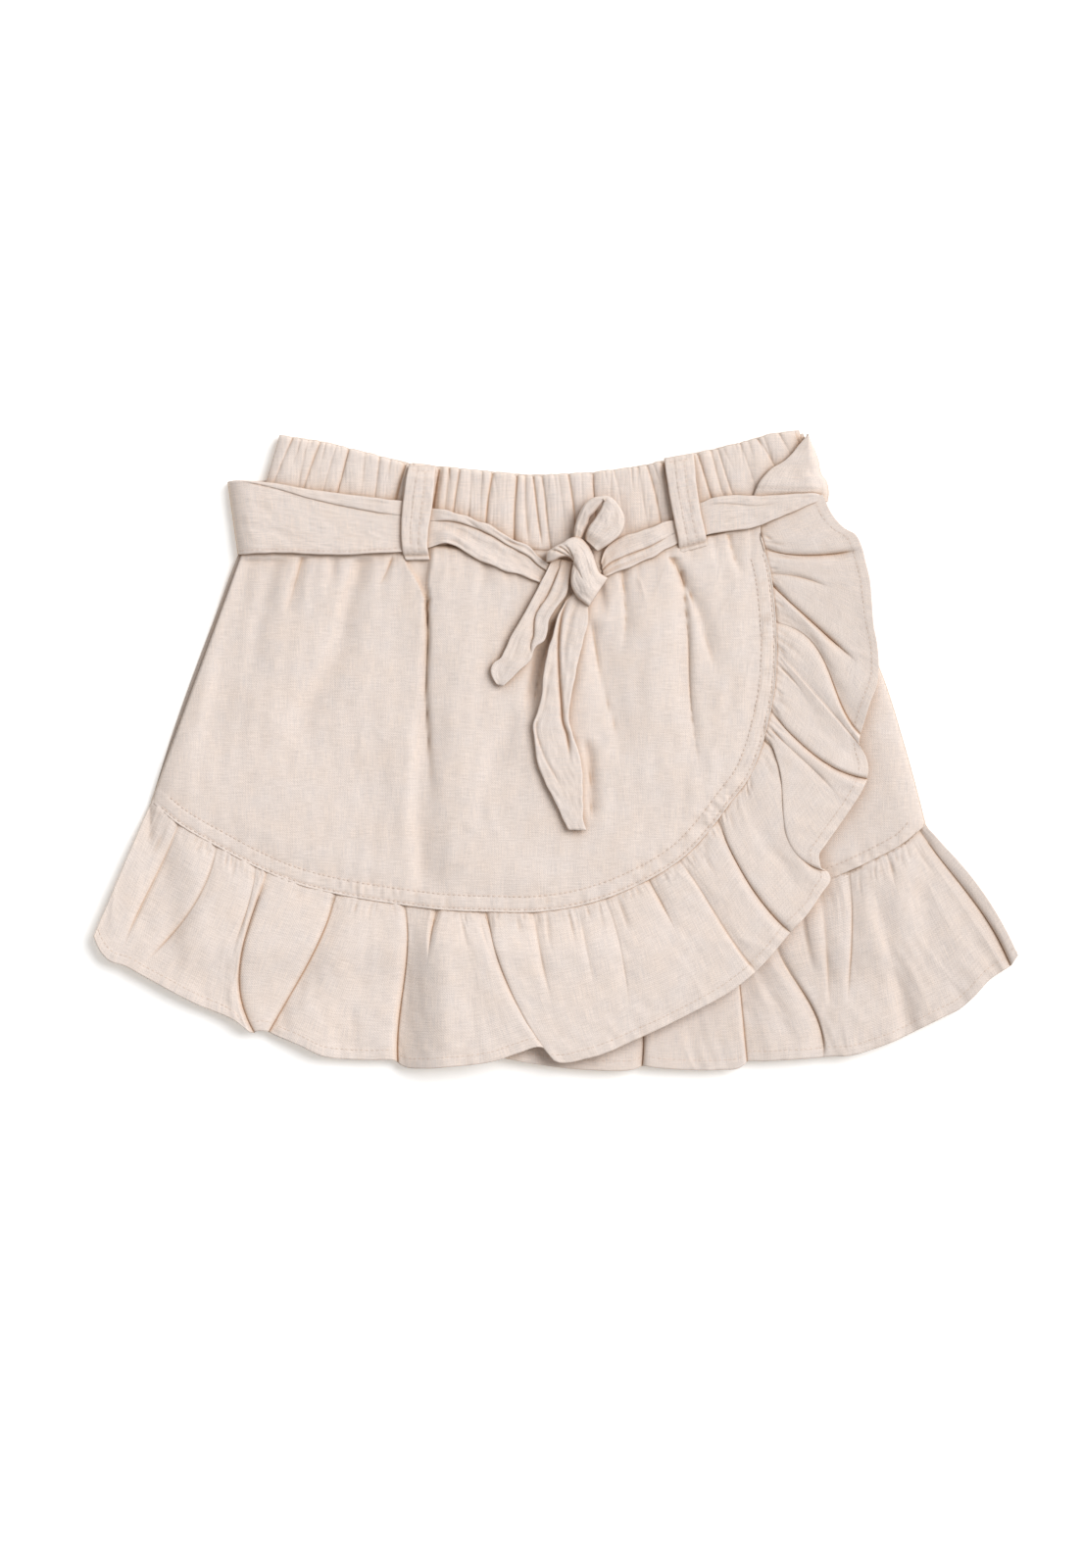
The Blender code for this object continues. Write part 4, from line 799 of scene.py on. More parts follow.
def inside_edge(points, distance):
    """The line on the cloth at a distance from its last row, and the cloth's normals along it."""
    normal = np.cross(np.gradient(points, axis=0), np.gradient(points, axis=1))
    normal /= np.linalg.norm(normal, axis=-1, keepdims=True) + 1e-9
    normal = np.where(normal[..., 2:] < 0, -normal, normal)
    back, up = points[::-1], normal[::-1]
    line, normals = np.empty((2, points.shape[1], 3))
    for column in range(points.shape[1]):
        length = reached(back[:, column])
        line[column] = read_at(distance, length, back[:, column])
        normals[column] = read_at(distance, length, up[:, column])
    return line, normals


# A stitch's rings: how far along it each is, and its share of the radius.
STITCH_RINGS = [(-0.5, 0.25), (-0.36, 0.8), (0.0, 1.0), (0.36, 0.8), (0.5, 0.25)]
STITCH_SIDES = 6
STITCH_SLACK = 0.12  # a stitch is off its even place by up to this share of the pitch,
STITCH_TWIST = 0.10  # and its sides lean by up to this


def sew(name, lines, material, radius):
    """Rows of stitches, joined in one mesh. A line is its points and the cloth's normals there."""
    draw = np.random.default_rng(1)
    verts, faces = [], []
    turns = np.arange(STITCH_SIDES) * 2 * math.pi / STITCH_SIDES
    for line, normals in lines:
        lengths = reached(line)
        middles = np.arange(STITCH_PITCH / 2, lengths[-1] - STITCH_PITCH / 2, STITCH_PITCH)
        middles = middles + draw.uniform(-STITCH_SLACK, STITCH_SLACK, len(middles)) * STITCH_PITCH
        for middle in middles:
            start, end = (read_at(middle + half * STITCH_LENGTH / 2, lengths, line) for half in (-1, 1))
            up = read_at(middle, lengths, normals)
            along = end - start
            along /= np.linalg.norm(along) + 1e-9
            side = np.cross(up, along)
            side /= np.linalg.norm(side) + 1e-9
            side = side + along * draw.uniform(-STITCH_TWIST, STITCH_TWIST)
            centre = (start + end) / 2 + up * radius * 0.35
            first = len(verts)
            for at, share in STITCH_RINGS:
                arch = up * radius * (0.5 - 3.2 * at * at)
                for turn in turns:
                    out = side * math.cos(turn) + up * math.sin(turn)
                    verts.append(centre + along * at * STITCH_LENGTH + arch + out * radius * share)
            for ring in range(first, len(verts) - STITCH_SIDES, STITCH_SIDES):
                for k in range(STITCH_SIDES):
                    a, b = ring + k, ring + (k + 1) % STITCH_SIDES
                    faces.append((a, b, b + STITCH_SIDES, a + STITCH_SIDES))
            faces.append(tuple(range(first + STITCH_SIDES - 1, first - 1, -1)))
            faces.append(tuple(range(len(verts) - STITCH_SIDES, len(verts))))
    verts = np.array(verts) * MM
    mesh = bpy.data.meshes.new(name)
    mesh.from_pydata([tuple(v) for v in verts], [], faces)
    return add_piece(name, mesh, verts[:, :2], material)


def plan_distance(path, x, y):
    """Distance in plan from each point to a path, and the path's length at the nearest place."""
    start, step, lengths = path[:-1], np.diff(path, axis=0), reached(path)
    best, at = np.full(x.shape, np.inf), np.zeros(x.shape)
    for k in range(len(step)):
        dx, dy = x - start[k, 0], y - start[k, 1]
        t = np.clip((dx * step[k, 0] + dy * step[k, 1]) / float(step[k] @ step[k]), 0.0, 1.0)
        distance = np.hypot(dx - t * step[k, 0], dy - t * step[k, 1])
        nearer = distance < best
        best = np.where(nearer, distance, best)
        at = np.where(nearer, toward(lengths[k], lengths[k + 1], t), at)
    return best, at


# ---------------------------------------------------------------- panels
# Puckers beside a seam: height, length, squeeze across, seed, how far above its upper stitches, and fade.
SEAM_PUCKERS = [(0.24, 7.5, 0.35, 31, 7, 9), (0.17, 3.4, 0.6, 32, 3, 4)]
# Small gathers at the waist seam: the range of each one's shift, depth, reach, length and lean.
WAIST_GATHERS = ((-1.8, 1.8), (0.15, 0.7), (0.9, 2.0), (12, 42), (-0.12, 0.12))
WAIST_GATHER_PITCH = 4.6
WRAP_PUFF = 1.1  # how far the wrap stands off the layers below, away from its seam
WRAP_TUCK = [0.0, 0.9, -1.3]  # its top row goes under the waistband
WRAP_FOLD_SHARES = [0.275, 0.30, 0.33, 0.755, 0.79]  # where its grid is fine, for the pleat and deep folds
SEWN_FLAT = 3.0  # cloth lies flat this far from its seam,
FREE_OVER = 16.0  # and is free this much farther in
WRAP_TURN = ([0.0, 0.8, 1.0], [0.0, 0.70, 1.0])  # share of the waist to share of the seam: the rounded edge
BELT_FOOT_Y = 97.5
SLOPE_STEP = 0.4
SHORTS_PRESS = {"shorts_front": 3.2, "shorts_back": 4.4}  # air between them and the wrap
SHORTS_PRESS_MOST = 1.4


def seam_band(distance, along):
    """The doubled edge above a panel's seam, with its two sunk rows of stitches and its puckers."""
    upper_row = TOPSTITCH[1]
    raised = 0.30 * ease((upper_row + 1.4 - distance) / 1.6)
    sunk = sum(0.30 * bump(distance - row, 0.9, 0.9) for row in TOPSTITCH)
    pucker = 0.0
    for height, length, squeeze, seed, above, fade in SEAM_PUCKERS:
        near = ease((upper_row + above - distance) / fade)
        pucker = pucker + height * near * waves(along, distance * squeeze, length, seed)
    return raised - sunk + pucker


def path_folds(x, y):
    """Relief of the wrap panel's valleys, and how far their lips shift the cloth in plan."""
    relief, shift = np.zeros_like(x), np.zeros_like(x)
    for row in rows_of(PANEL_FOLDS, PANEL_COLUMNS):
        path, lengths = smooth_path(row["path"], per_span=8)
        order = np.argsort(path[:, 1])
        path_x, path_y = path[order].T
        slope = np.interp(y, path_y, np.gradient(path_x, path_y))
        distance = (x - np.interp(y, path_y, path_x)) / np.sqrt(1 + slope**2)
        down = np.interp(y, path_y, lengths[order])
        beyond = np.maximum(y - path_y[-1], path_y[0] - y)
        fade = ease(down / row["fade_in"] + 0.2) * ease((lengths[-1] - down) / row["fade_out"])
        fade = fade * ease(1 - beyond / 4)
        depth, left, right = (toward(*row[name], down / lengths[-1]) for name in ("depth", "left", "right"))
        relief -= FOLD_DEPTH * depth * fade * fold(distance, left, right, CREASED if row["lip"] else SOFT)
        shift += fade * hang(distance, row["lip"], left, right)
    return relief, shift


def pleat(x, y, side, beyond=0.0):
    """Depth of the pleat, with sides so wide, which start a share of that beyond its folded edges."""
    opened = ease((x - pleat_left(y)) / side + beyond) * ease((pleat_right(y) - x) / side + beyond)
    return PLEAT_DEPTH * opened * ease((y - PLEAT_FOOT_Y) / PLEAT_FADE)


def pressed(x, y, air):
    """How far the wrap's folds and pleat push down a layer that lies some air below the wrap."""
    return np.maximum(pleat(x, y, side=2.0, beyond=1.0) - path_folds(x, y)[0] - air, 0.0)


def waist_gathers(x, y):
    """Small gathers that start at the waist seam and fade out at uneven lengths."""
    draw = np.random.default_rng(17)
    relief = np.zeros_like(x)
    down = waist_y(x) - y
    for place in np.arange(-150.0, 132.0, WAIST_GATHER_PITCH):
        moved, depth, reach, length, lean = (draw.uniform(*span) for span in WAIST_GATHERS)
        place = place + moved
        lean = lean + place * 0.0009
        fade = ease((length - down) / length)
        relief = relief - depth * fade * bump(x - place - lean * down, reach, reach * 1.4)
    return relief


def stitch_panel(seam, z_at, shares, tilted):
    """The two rows of stitches inside a panel's seam, on the cloth. They tilt with it, or lie flat."""
    line = seam(shares)
    ahead = np.gradient(line, axis=0)
    inward = np.stack([-ahead[:, 1], ahead[:, 0]], axis=-1) / np.linalg.norm(ahead, axis=1)[:, None]
    for inset in TOPSTITCH:
        x, y = (line + inward * inset).T
        z = z_at(x, y)
        normals = np.tile([0.0, 0.0, 1.0], (len(x), 1))
        if tilted:
            normals[:, 0] = (z - z_at(x + SLOPE_STEP, y)) / SLOPE_STEP
            normals[:, 1] = (z - z_at(x, y + SLOPE_STEP)) / SLOPE_STEP
            normals /= np.linalg.norm(normals, axis=1)[:, None]
        stitch_rows.append((np.stack([x, y, z], axis=-1), normals))


def make_wrap_panel():
    seam = curve(WRAP_SEAM)
    path, _ = smooth_path(WRAP_SEAM, per_span=6)

    def height(x, y):
        distance, along = plan_distance(path, x, y)
        free = ease((distance - SEWN_FLAT) / FREE_OVER)
        valleys, shift = path_folds(x, y)
        relief = (WRAP_PUFF + swells("wrap", x, y) + crumples("wrap", x, y)) * free
        relief += swells("wrap_fine", x, y) + seam_band(distance, along) - pleat(x, y, side=0.7)
        relief *= ease((np.minimum(waist_y(x), BELT_FOOT_Y) + 4.0 - y) / 12)
        relief += valleys * (0.25 + 0.75 * free) + waist_gathers(x, y)
        low = toward(layer_low("inner", x, y), layer_low("wrap", x, y), over_inner(x)) + CLOTH + relief
        return toward(side_low(x, y) + CLOTH, low, roll(x - left_x(y))), shift

    u = denser(275, WRAP_FOLD_SHARES, plain=1.2, fine=0.5, reach=3)
    v = np.concatenate([np.linspace(0, 0.94, 130), np.linspace(0.945, 1.0, 18)])
    u, v = np.meshgrid(u, v)
    top, bottom = under_waist(WAIST_SEAM[0][0], WRAP_SEAM[-1][0])(u), seam(np.interp(u, *WRAP_TURN))
    x, y = np.moveaxis(toward(top, bottom, v[..., None]), -1, 0)
    z, shift = height(x, y)
    points = np.stack([x + shift, y, z], axis=-1)
    points[0] += WRAP_TUCK
    panel = cloth("wrap_panel_cloth", points, plan_grain, SKIRT)
    declare(["wrap_panel"])
    stitch_panel(seam, lambda x, y: height(x, y)[0], np.linspace(0.012, 0.985, 700), tilted=True)


def make_inner_panel():
    edge = [(x, y + SEAM_GAP) for x, y in INNER_SEAM]
    seam = curve(edge)
    path, _ = smooth_path(edge, per_span=6)

    def height(x, y):
        relief = seam_band(*plan_distance(path, x, y)) * ease((x - 60) / 30)
        relief += swells("inner", x, y) - pressed(x, y, 1.9 * over_inner(x) + 0.6)
        low = layer_low("inner", x, y) + CLOTH - 0.15 + relief
        return toward(side_low(x, y) + CLOTH, low, roll(right_x(y) - x))

    across = denser(228, [0.9], plain=1.6, fine=1.2, reach=25)
    u, v = np.meshgrid(across, np.concatenate([np.linspace(0, 0.93, 80), np.linspace(0.94, 1, 14)]))
    first = INNER_SEAM[0][0]
    _, y = between(under_waist(first, WAIST_SEAM[-1][0]), seam, u, v)
    x = toward(first, right_x(y), u)
    y = np.minimum(y, waist_y(x) - SEAM_GAP)
    panel = cloth("inner_panel_cloth", np.stack([x, y, height(x, y)], axis=-1), plan_grain, INNER_SHADED_LINEN)
    declare(["inner_panel"])
    stitch_panel(seam, height, np.linspace(0.45, 0.985, 300), tilted=False)


def make_back_panel():
    top_edge = under_waist(WAIST_SEAM[0][0], WAIST_SEAM[-1][0])
    seam = curve([(x, y + SEAM_GAP) for x, y in BACK_SEAM])
    u, v = even_grid(100, 56)
    _, y = between(top_edge, seam, u, v)
    x = toward(left_x(y), right_x(y), u)
    y = np.minimum(y, waist_y(x) - SEAM_GAP)
    middle = ease(np.minimum(x - left_x(y), right_x(y) - x) / 20)
    relief = (swells("back", x, y) + 0.3 * waist_gathers(x + 2.0, y)) * middle
    points = np.stack([x, y, layer_low("back", x, y) + CLOTH - 0.25 + relief], axis=-1)
    panel = cloth("back_panel_cloth", points, plan_grain, SKIRT)
    declare(["back_panel"])


def make_shorts():
    crotch_x, crotch_y = CROTCH

    def leg(side, layer, sign, outer_x):
        def inner_x(y):
            parted = ease((crotch_y - y) / (crotch_y - LEG_HEM_Y))
            return toward(crotch_x + sign * SEAM_GAP, crotch_x + sign * LEG_PARTING, parted)

        u, v = even_grid(34, 44)
        high = 90.0
        top = waist_y(toward(outer_x(high), inner_x(high), u)) - SEAM_GAP
        y = toward(top, LEG_HEM_Y, v)
        x = toward(outer_x(y), inner_x(y), u)
        y = np.minimum(y, waist_y(x) - SEAM_GAP)
        z = layer_low(layer, x, y) + CLOTH - 0.25 + swells(layer, x, y)
        z -= np.minimum(pressed(x, y, SHORTS_PRESS[layer]), SHORTS_PRESS_MOST)
        obj = cloth(f"{layer}_{side}_cloth", np.stack([x, y, z], axis=-1), plan_grain, SHORTS)
        declare([f"{layer}_{side}"])

    right_outer = x_of_y([(x + SHORTS_INSET, y) for x, y in LEFT_SIDE[:-1]])
    left_outer = x_of_y([(x - SHORTS_INSET, y) for x, y in RIGHT_SIDE[:-2]])
    for layer, below in (("shorts_back", "back_panel_cloth"), ("shorts_front", "shorts_back_{}_cloth")):
        for side, sign, outer_x in (("right", -1, right_outer), ("left", 1, left_outer)):
            leg(side, layer, sign, outer_x)


# ---------------------------------------------------------------- ruffles
# Fine gathers at a ruffle's seam, short and long: the range of the share of the ruffle at which one ends, the
# range of its depth, and how far its foot may lean.
SHORT_GATHER = ((0.03, 0.13), (0.3, 0.9), 21.6)
LONG_GATHER = ((0.12, 0.36), (0.4, 0.9), 9.0)
LONG_GATHERS = 0.2  # share of them that are long
GATHER_SPACING = (1.3, 4.6)
GATHER_REACH = (0.5, 1.3)
BOW_SIDE = 13.5  # makes a valley's bows reach their stated sizes at a third and two thirds of its way down
SEAM_CRUMPLE_MEAN = 0.168  # taken off the crumples beside the seam, so that they go both ways
TUCK_SLOPE = 18.0  # how steeply a ruffle dips under its panel
WRAP_RUFFLE_LENGTH = 470.0
INNER_RUFFLE_LENGTH = 170.0
LEFT_EDGE_X = -226.0
BACK_WAVES = 22


def fine_gathers(relief, v, from_gather, length, seed):
    """The small gathers along a ruffle's seam. from_gather is the distance from one at a share of it."""
    draw = np.random.default_rng(seed)
    place = 1.5
    while place < length - 1.5:
        ends, sizes, lean = LONG_GATHER if draw.random() < LONG_GATHERS else SHORT_GATHER
        end, size = draw.uniform(*ends), draw.uniform(*sizes)
        left, right = draw.uniform(*GATHER_REACH, 2)
        slant, bend = draw.uniform(-lean, lean), draw.uniform(-0.9, 0.9)
        distance = from_gather(place / length) - slant * v - bend * np.sin(np.pi * np.clip(v / end, 0, 1))
        fade = (0.45 + 0.55 * ease(v / 0.04)) * ease((end - v) / (0.7 * end))
        relief = relief - size * fade * fold(distance, left, right, CREASED) * np.clip(relief / 0.8, 0.25, 1)
        place += draw.uniform(*GATHER_SPACING)
    return relief


def ruffle(seam_points, hem_points, table, base, seed, rows):
    """The grid of a gathered ruffle, from just under its seam to its hem."""
    seam, hem = curve(seam_points), curve(hem_points)
    place = np.linspace(0.0, 1.0, len(table))
    column = dict(zip(RUFFLE_COLUMNS, np.array(table, float).T))
    share = np.linspace(0, 1, 6001)
    steps = denser(hem.length, column["hem"], plain=1.35, fine=0.42, reach=4.0)
    u = np.interp(steps, np.interp(share, place, column["hem"]), share)
    v = np.concatenate([[-0.045, -0.02], np.linspace(0, 0.9, rows), np.linspace(0.912, 1.0, 9)])
    u, v = np.meshgrid(u, v)
    shown = np.maximum(v, 0)

    at_seam, at_hem, bow_up, bow_down = (np.interp(u, place, column[name]) for name in RUFFLE_COLUMNS[:4])
    chord = hem(at_hem) - seam(at_seam)
    depth = np.linalg.norm(chord, axis=-1)
    right = np.stack([-chord[..., 1], chord[..., 0]]) / depth
    bow = BOW_SIDE * shown * (1 - shown) * (bow_up * (2 / 3 - v) + bow_down * (v - 1 / 3))
    x, y = np.moveaxis(seam(at_seam) + chord * v[..., None], -1, 0) + right * bow

    width = toward(seam.length, hem.length, shown)
    here = toward(at_seam, at_hem, v)
    puff = 0.15 + 0.85 * shown**0.8
    plateau = RUFFLE_PUFF * puff
    relief, shift = plateau, np.zeros_like(x)
    for valley in rows_of(table, RUFFLE_COLUMNS):
        left, right_reach, lip = valley["left"], valley["right"], valley["lip"]
        fade = ease((v - valley["start"] + 0.12) / 0.12) * ease((valley["end"] - v + 0.3) / 0.3)
        distance = (here - toward(valley["seam"], valley["hem"], v)) * width
        dip = valley["depth"] * fold(distance, left, right_reach, RUFFLE_CREASED if lip else RUFFLE_SOFT)
        relief = np.minimum(relief, plateau - dip * (0.35 + 0.65 * puff) * fade)
        shift += ease(v / 0.2) * fade * hang(distance, lip, left, right_reach)

    def from_gather(start):
        return (here - toward(start, np.interp(start, column["seam"], column["hem"]), v)) * width

    relief = fine_gathers(relief, v, from_gather, seam.length, seed)
    along, down = here * hem.length, v * depth
    relief += puff * (swells("ruffle", along, down, seed) + crumples("ruffle", along, down, seed))
    near_seam = ease((0.16 - v) / 0.12) * ease((v + 0.02) / 0.03)
    relief += near_seam * (crumples("ruffle_seam", along, down, seed) - SEAM_CRUMPLE_MEAN)
    from_hem = (1 - v) * depth
    relief += 0.22 * ease((HEM_TURN + 0.3 - from_hem) / 0.6)
    relief -= 0.16 * bump(from_hem - HEM_TURN + HEM_STITCH_INSET, 0.7, 0.7)
    relief += 0.12 * waves(along, from_hem * 0.2, 6, seed + 4) * ease((12 - from_hem) / 10)
    z = base(x, y, u, v) + CLOTH + relief + TUCK_SLOPE * np.minimum(v, 0)
    return np.stack([x + right[0] * shift, y + right[1] * shift, z], axis=-1)


def add_ruffle(node, points, material):
    obj = cloth(node + "_cloth", points, strip_grain, material)
    declare([node])
    hem_rows.append(inside_edge(points, HEM_TURN - HEM_STITCH_INSET))


def make_wrap_ruffle():
    seam_points = [(x, y - SEAM_GAP * 2) for x, y in WRAP_SEAM[:12]]
    seam_points += [(x + SEAM_GAP * 1.5, y - SEAM_GAP * 1.5) for x, y in WRAP_SEAM[12:17]]
    seam_points += [(x + SEAM_GAP * 2, y) for x, y in WRAP_SEAM[17:]]
    hem_points = list(WRAP_HEM)
    for points, moved in ((seam_points, SEAM_UNDER_BELT), (hem_points, HEM_UNDER_BELT)):
        points[-1] = tuple(np.add(points[-1], moved))

    def base(x, y, u, v):
        layered = toward(SEAM_LOW, WRAP_HEM_LOW, ease((inner_seam_y(x) - y + 4) / RUFFLE_RISE))
        at_panel = toward(side_low(x, y), layer_low("inner", x, y), roll(x - left_x(y))) - 0.2
        alone = toward(at_panel, hem_low(x, y), ease(v / 0.34))
        waist = (WAIST_LOW["wrap"] - FLAT_LOW["wrap"]) * waist_share(x, y)
        edge = np.maximum(roll(x - LEFT_EDGE_X, 26.0), 1 - ease(v / 0.3))
        to_belt = (1 - u) * WRAP_RUFFLE_LENGTH - HEM_UNDER_BELT[1]
        held = 3.0 * (0.2 + 0.8 * np.maximum(v, 0)) * (1 - ease(to_belt / 9))
        return toward(HEM_LOW, toward(alone, layered, over_inner(x)) + waist, edge) - held

    points = ruffle(seam_points, hem_points, WRAP_RUFFLE, base, seed=61, rows=44)
    add_ruffle("wrap_ruffle", points, RUFFLE)


def make_inner_ruffle():
    def base(x, y, u, v):
        return toward(HEM_LOW, hem_low(x, y), roll((1 - u) * INNER_RUFFLE_LENGTH))

    seam_points = [(x, y - SEAM_GAP) for x, y in INNER_SEAM]
    points = ruffle(seam_points, INNER_HEM, INNER_RUFFLE, base, seed=71, rows=40)
    add_ruffle("inner_ruffle", points, INNER_SHADED_LINEN)


def make_back_ruffle():
    seam = curve([(x, y - SEAM_GAP) for x, y in BACK_SEAM])
    u, v = even_grid(400, 28)
    x, y = between(seam, curve(BACK_HEM), u, v)
    wave = np.cos(2 * np.pi * (u * BACK_WAVES + 0.6 * np.sin(5.3 * u)))
    relief = (0.45 + 0.45 * wave) * ease(v / 0.2) + swells("back_ruffle", x, y)
    obj = cloth("back_ruffle_cloth", np.stack([x, y, CLOTH + relief], axis=-1), strip_grain, RUFFLE)
    declare(["back_ruffle"])


# ---------------------------------------------------------------- waistband
BAND_DEPTH = 39.0
BAND_WALL = 0.9
SMALL_GATHER_PITCH = 3.4


def band_gathers(gathers, draw, first, last):
    """The stated gathers, and small ones of random place and size between them."""
    table = []
    for row in rows_of(gathers, GATHER_COLUMNS):
        table.append(dict(row, reach=draw.uniform(1.0, 3.0), start=0.0, end=draw.choice([0.8, 1.0, 1.3])))
    for x in np.arange(first + 2.0, last - 2.0, SMALL_GATHER_PITCH):
        start = draw.choice([0.0, 0.0, 0.6])
        table.append(dict(
            x=x + draw.uniform(-1.6, 1.6), lean=draw.uniform(-5, 5), depth=draw.uniform(0.15, 0.5),
            lip=draw.choice([0.0, 0.2, -0.2]), reach=draw.uniform(0.6, 1.1), start=start,
            end=start + draw.uniform(0.2, 0.5),
        ))
    return table


def make_waistband(node, gathers, low, seed, columns, rows, top_points):
    """One side of the gathered casing. Valleys run from its top edge to its seam."""
    top_edge = curve(top_points)
    first, last = top_points[0][0], top_points[-1][0]
    width = last - first
    draw = np.random.default_rng(seed)
    table = band_gathers(gathers, draw, first, last)
    u, v = even_grid(columns, rows)
    x, y = between(top_edge, curve(WAIST_SEAM), u, v)
    shares = np.linspace(0, 1, 400)
    top_x = top_edge(shares)[:, 0]
    relief, shift = np.full_like(u, 1.0), np.zeros_like(u)
    for row in table:
        bend = draw.uniform(-1.0, 1.0) * np.sin(np.pi * v)
        distance = (u - np.interp(row["x"], top_x, shares)) * width - bend - row["lean"] * v
        fade = ease((v - row["start"] + 0.15) / 0.15) * ease((row["end"] - v) / 0.3)
        relief = relief - row["depth"] * fade * fold(distance, row["reach"], row["reach"], BAND_CREASED)
        shift += fade * hang(distance, row["lip"], row["reach"], row["reach"])
    y = y + (relief - 1.0) * 0.7 * (1 - ease(v / 0.25))
    relief += swells("waistband", x, y, seed)
    height = low + BAND - 0.5 + relief * 0.85
    height -= 1.8 * (1 - roll(v * BAND_DEPTH, 2.4)) + 0.7 * (1 - roll((1 - v) * BAND_DEPTH, 1.5))
    z = toward(low, height, roll(np.minimum(u, 1 - u) * width, BAND_ROLL))
    points = np.stack([x + shift, y, z], axis=-1)
    obj = cloth(node + "_cloth", points, plan_grain, BAND_LINEN, BAND_WALL)
    declare([node])


def make_waistbands():
    make_waistband(
        "waistband_front", FRONT_GATHERS, BAND_FRONT_LOW, seed=91, columns=720, rows=34,
        top_points=WAIST_TOP[:-1] + [BAND_CORNER],
    )
    first, last = WAIST_TOP[0][0], WAIST_TOP[-1][0]
    behind = []
    for k in range(int((last - first) / BACK_GATHER_PITCH)):
        x = first + BACK_GATHER_PITCH * (k + 0.5 + 0.25 * math.sin(2.7 * k))
        behind.append((x, math.sin(4.1 * k), 0.6, 0.0))
    make_waistband(
        "waistband_back", behind, BAND_BACK_LOW, seed=92, columns=300, rows=18,
        top_points=WAIST_TOP,
    )


# ---------------------------------------------------------------- belt, loops, knot and bow
STITCH_INSET = 2.0  # the belt's stitches lie this far inside its edge
UP = [0.0, 0.0, 1.0]
# Where the belt turns under: the stretch's length or width there, and how wide the turn is.
LEFT_TURN, RIGHT_TURN, CORNER_TURN = (92.0, 12.0), (69.0, 7.0), (20.0, 7.0)
CORNER_LENGTH = 32.0
LOOP_LENGTH = 47.0
KNOT_LENGTH, KNOT_WIDTH = 38.0, 12.0


def strip(ribbon, low, columns, rows, seed, edge_drop=0.7, stitched=STITCH_INSET, groove=0.12, wander=0.2):
    """The grid of a stretch of ribbon between its two edges: columns along it, rows across it."""
    upper, lower = curve(ribbon["upper"]), curve(ribbon["lower"])
    u, v = even_grid(columns, rows)
    top, bottom = upper(u), lower(u)
    width = np.linalg.norm(bottom - top, axis=-1)
    length = (upper.length + lower.length) / 2
    relief, shift = np.zeros_like(u), np.zeros_like(u)
    for crease in rows_of(ribbon.get("creases", []), CREASE_COLUMNS):
        left, right, lip = crease["left"], crease["right"], crease["lip"]
        span = crease["end"] - crease["start"]
        along = (u - crease["start"]) / span
        line = np.interp(along, np.linspace(0, 1, len(crease["across"])), crease["across"])
        distance = (v - line) * width
        depth = toward(crease["depth0"], crease["depth1"], np.clip(along, 0, 1))
        ends = 1.0 if crease["start"] <= 0 else ease(along * span / 0.12 + 0.3)
        ends = ends * (1.0 if crease["end"] >= 1 else ease((1 - along) * span / 0.12 + 0.3))
        relief -= depth * ends * fold(distance, left, right, CREASED if lip else SOFT)
        shift += ends * hang(distance, lip, left, right)
    relief += swells("ribbon", u * length, v * width, seed) + crumples("ribbon", u * length, v * width, seed)
    inset = np.minimum(v, 1 - v) * width
    side = np.where(v > 0.5, 40.0, 0.0)
    shift += wander * waves(u * length, side, 10, seed + 4) * (1 - roll(inset, 4.0))
    relief -= groove * bump(inset - stitched, 0.6, 0.6) + edge_drop * (1 - roll(inset, 1.3))
    place = toward(top, bottom, v[..., None]) + (bottom - top) / width[..., None] * shift[..., None]
    x, y = np.moveaxis(place, -1, 0)
    return np.stack([x, y, low(x, y, u, v, relief)], axis=-1)


def add_ribbon(name, node, points, wall=BELT_SHELL):
    obj = cloth(name, points, strip_grain, BELT, wall)
    declare([node])


def ribbon_size(ribbon):
    """A ribbon's mean length, and its mean width in plan, in metres."""
    upper, lower = curve(ribbon["upper"]), curve(ribbon["lower"])
    shares = np.linspace(0, 1, 9)
    width = np.mean(np.linalg.norm(upper(shares) - lower(shares), axis=1))
    return (upper.length + lower.length) / 2 * MM, width * MM


def loop_press(x):
    """0 below a belt loop, where it presses the belt flat, and 1 away from it."""
    press = np.ones_like(x)
    for edges in FRONT_LOOPS.values():
        middle = (edges["upper"][2][0] + edges["lower"][2][0]) / 2
        press = np.minimum(press, ease((np.abs(x - middle) - LOOP_WIDTH / 2 - 1) / 8))
    return press


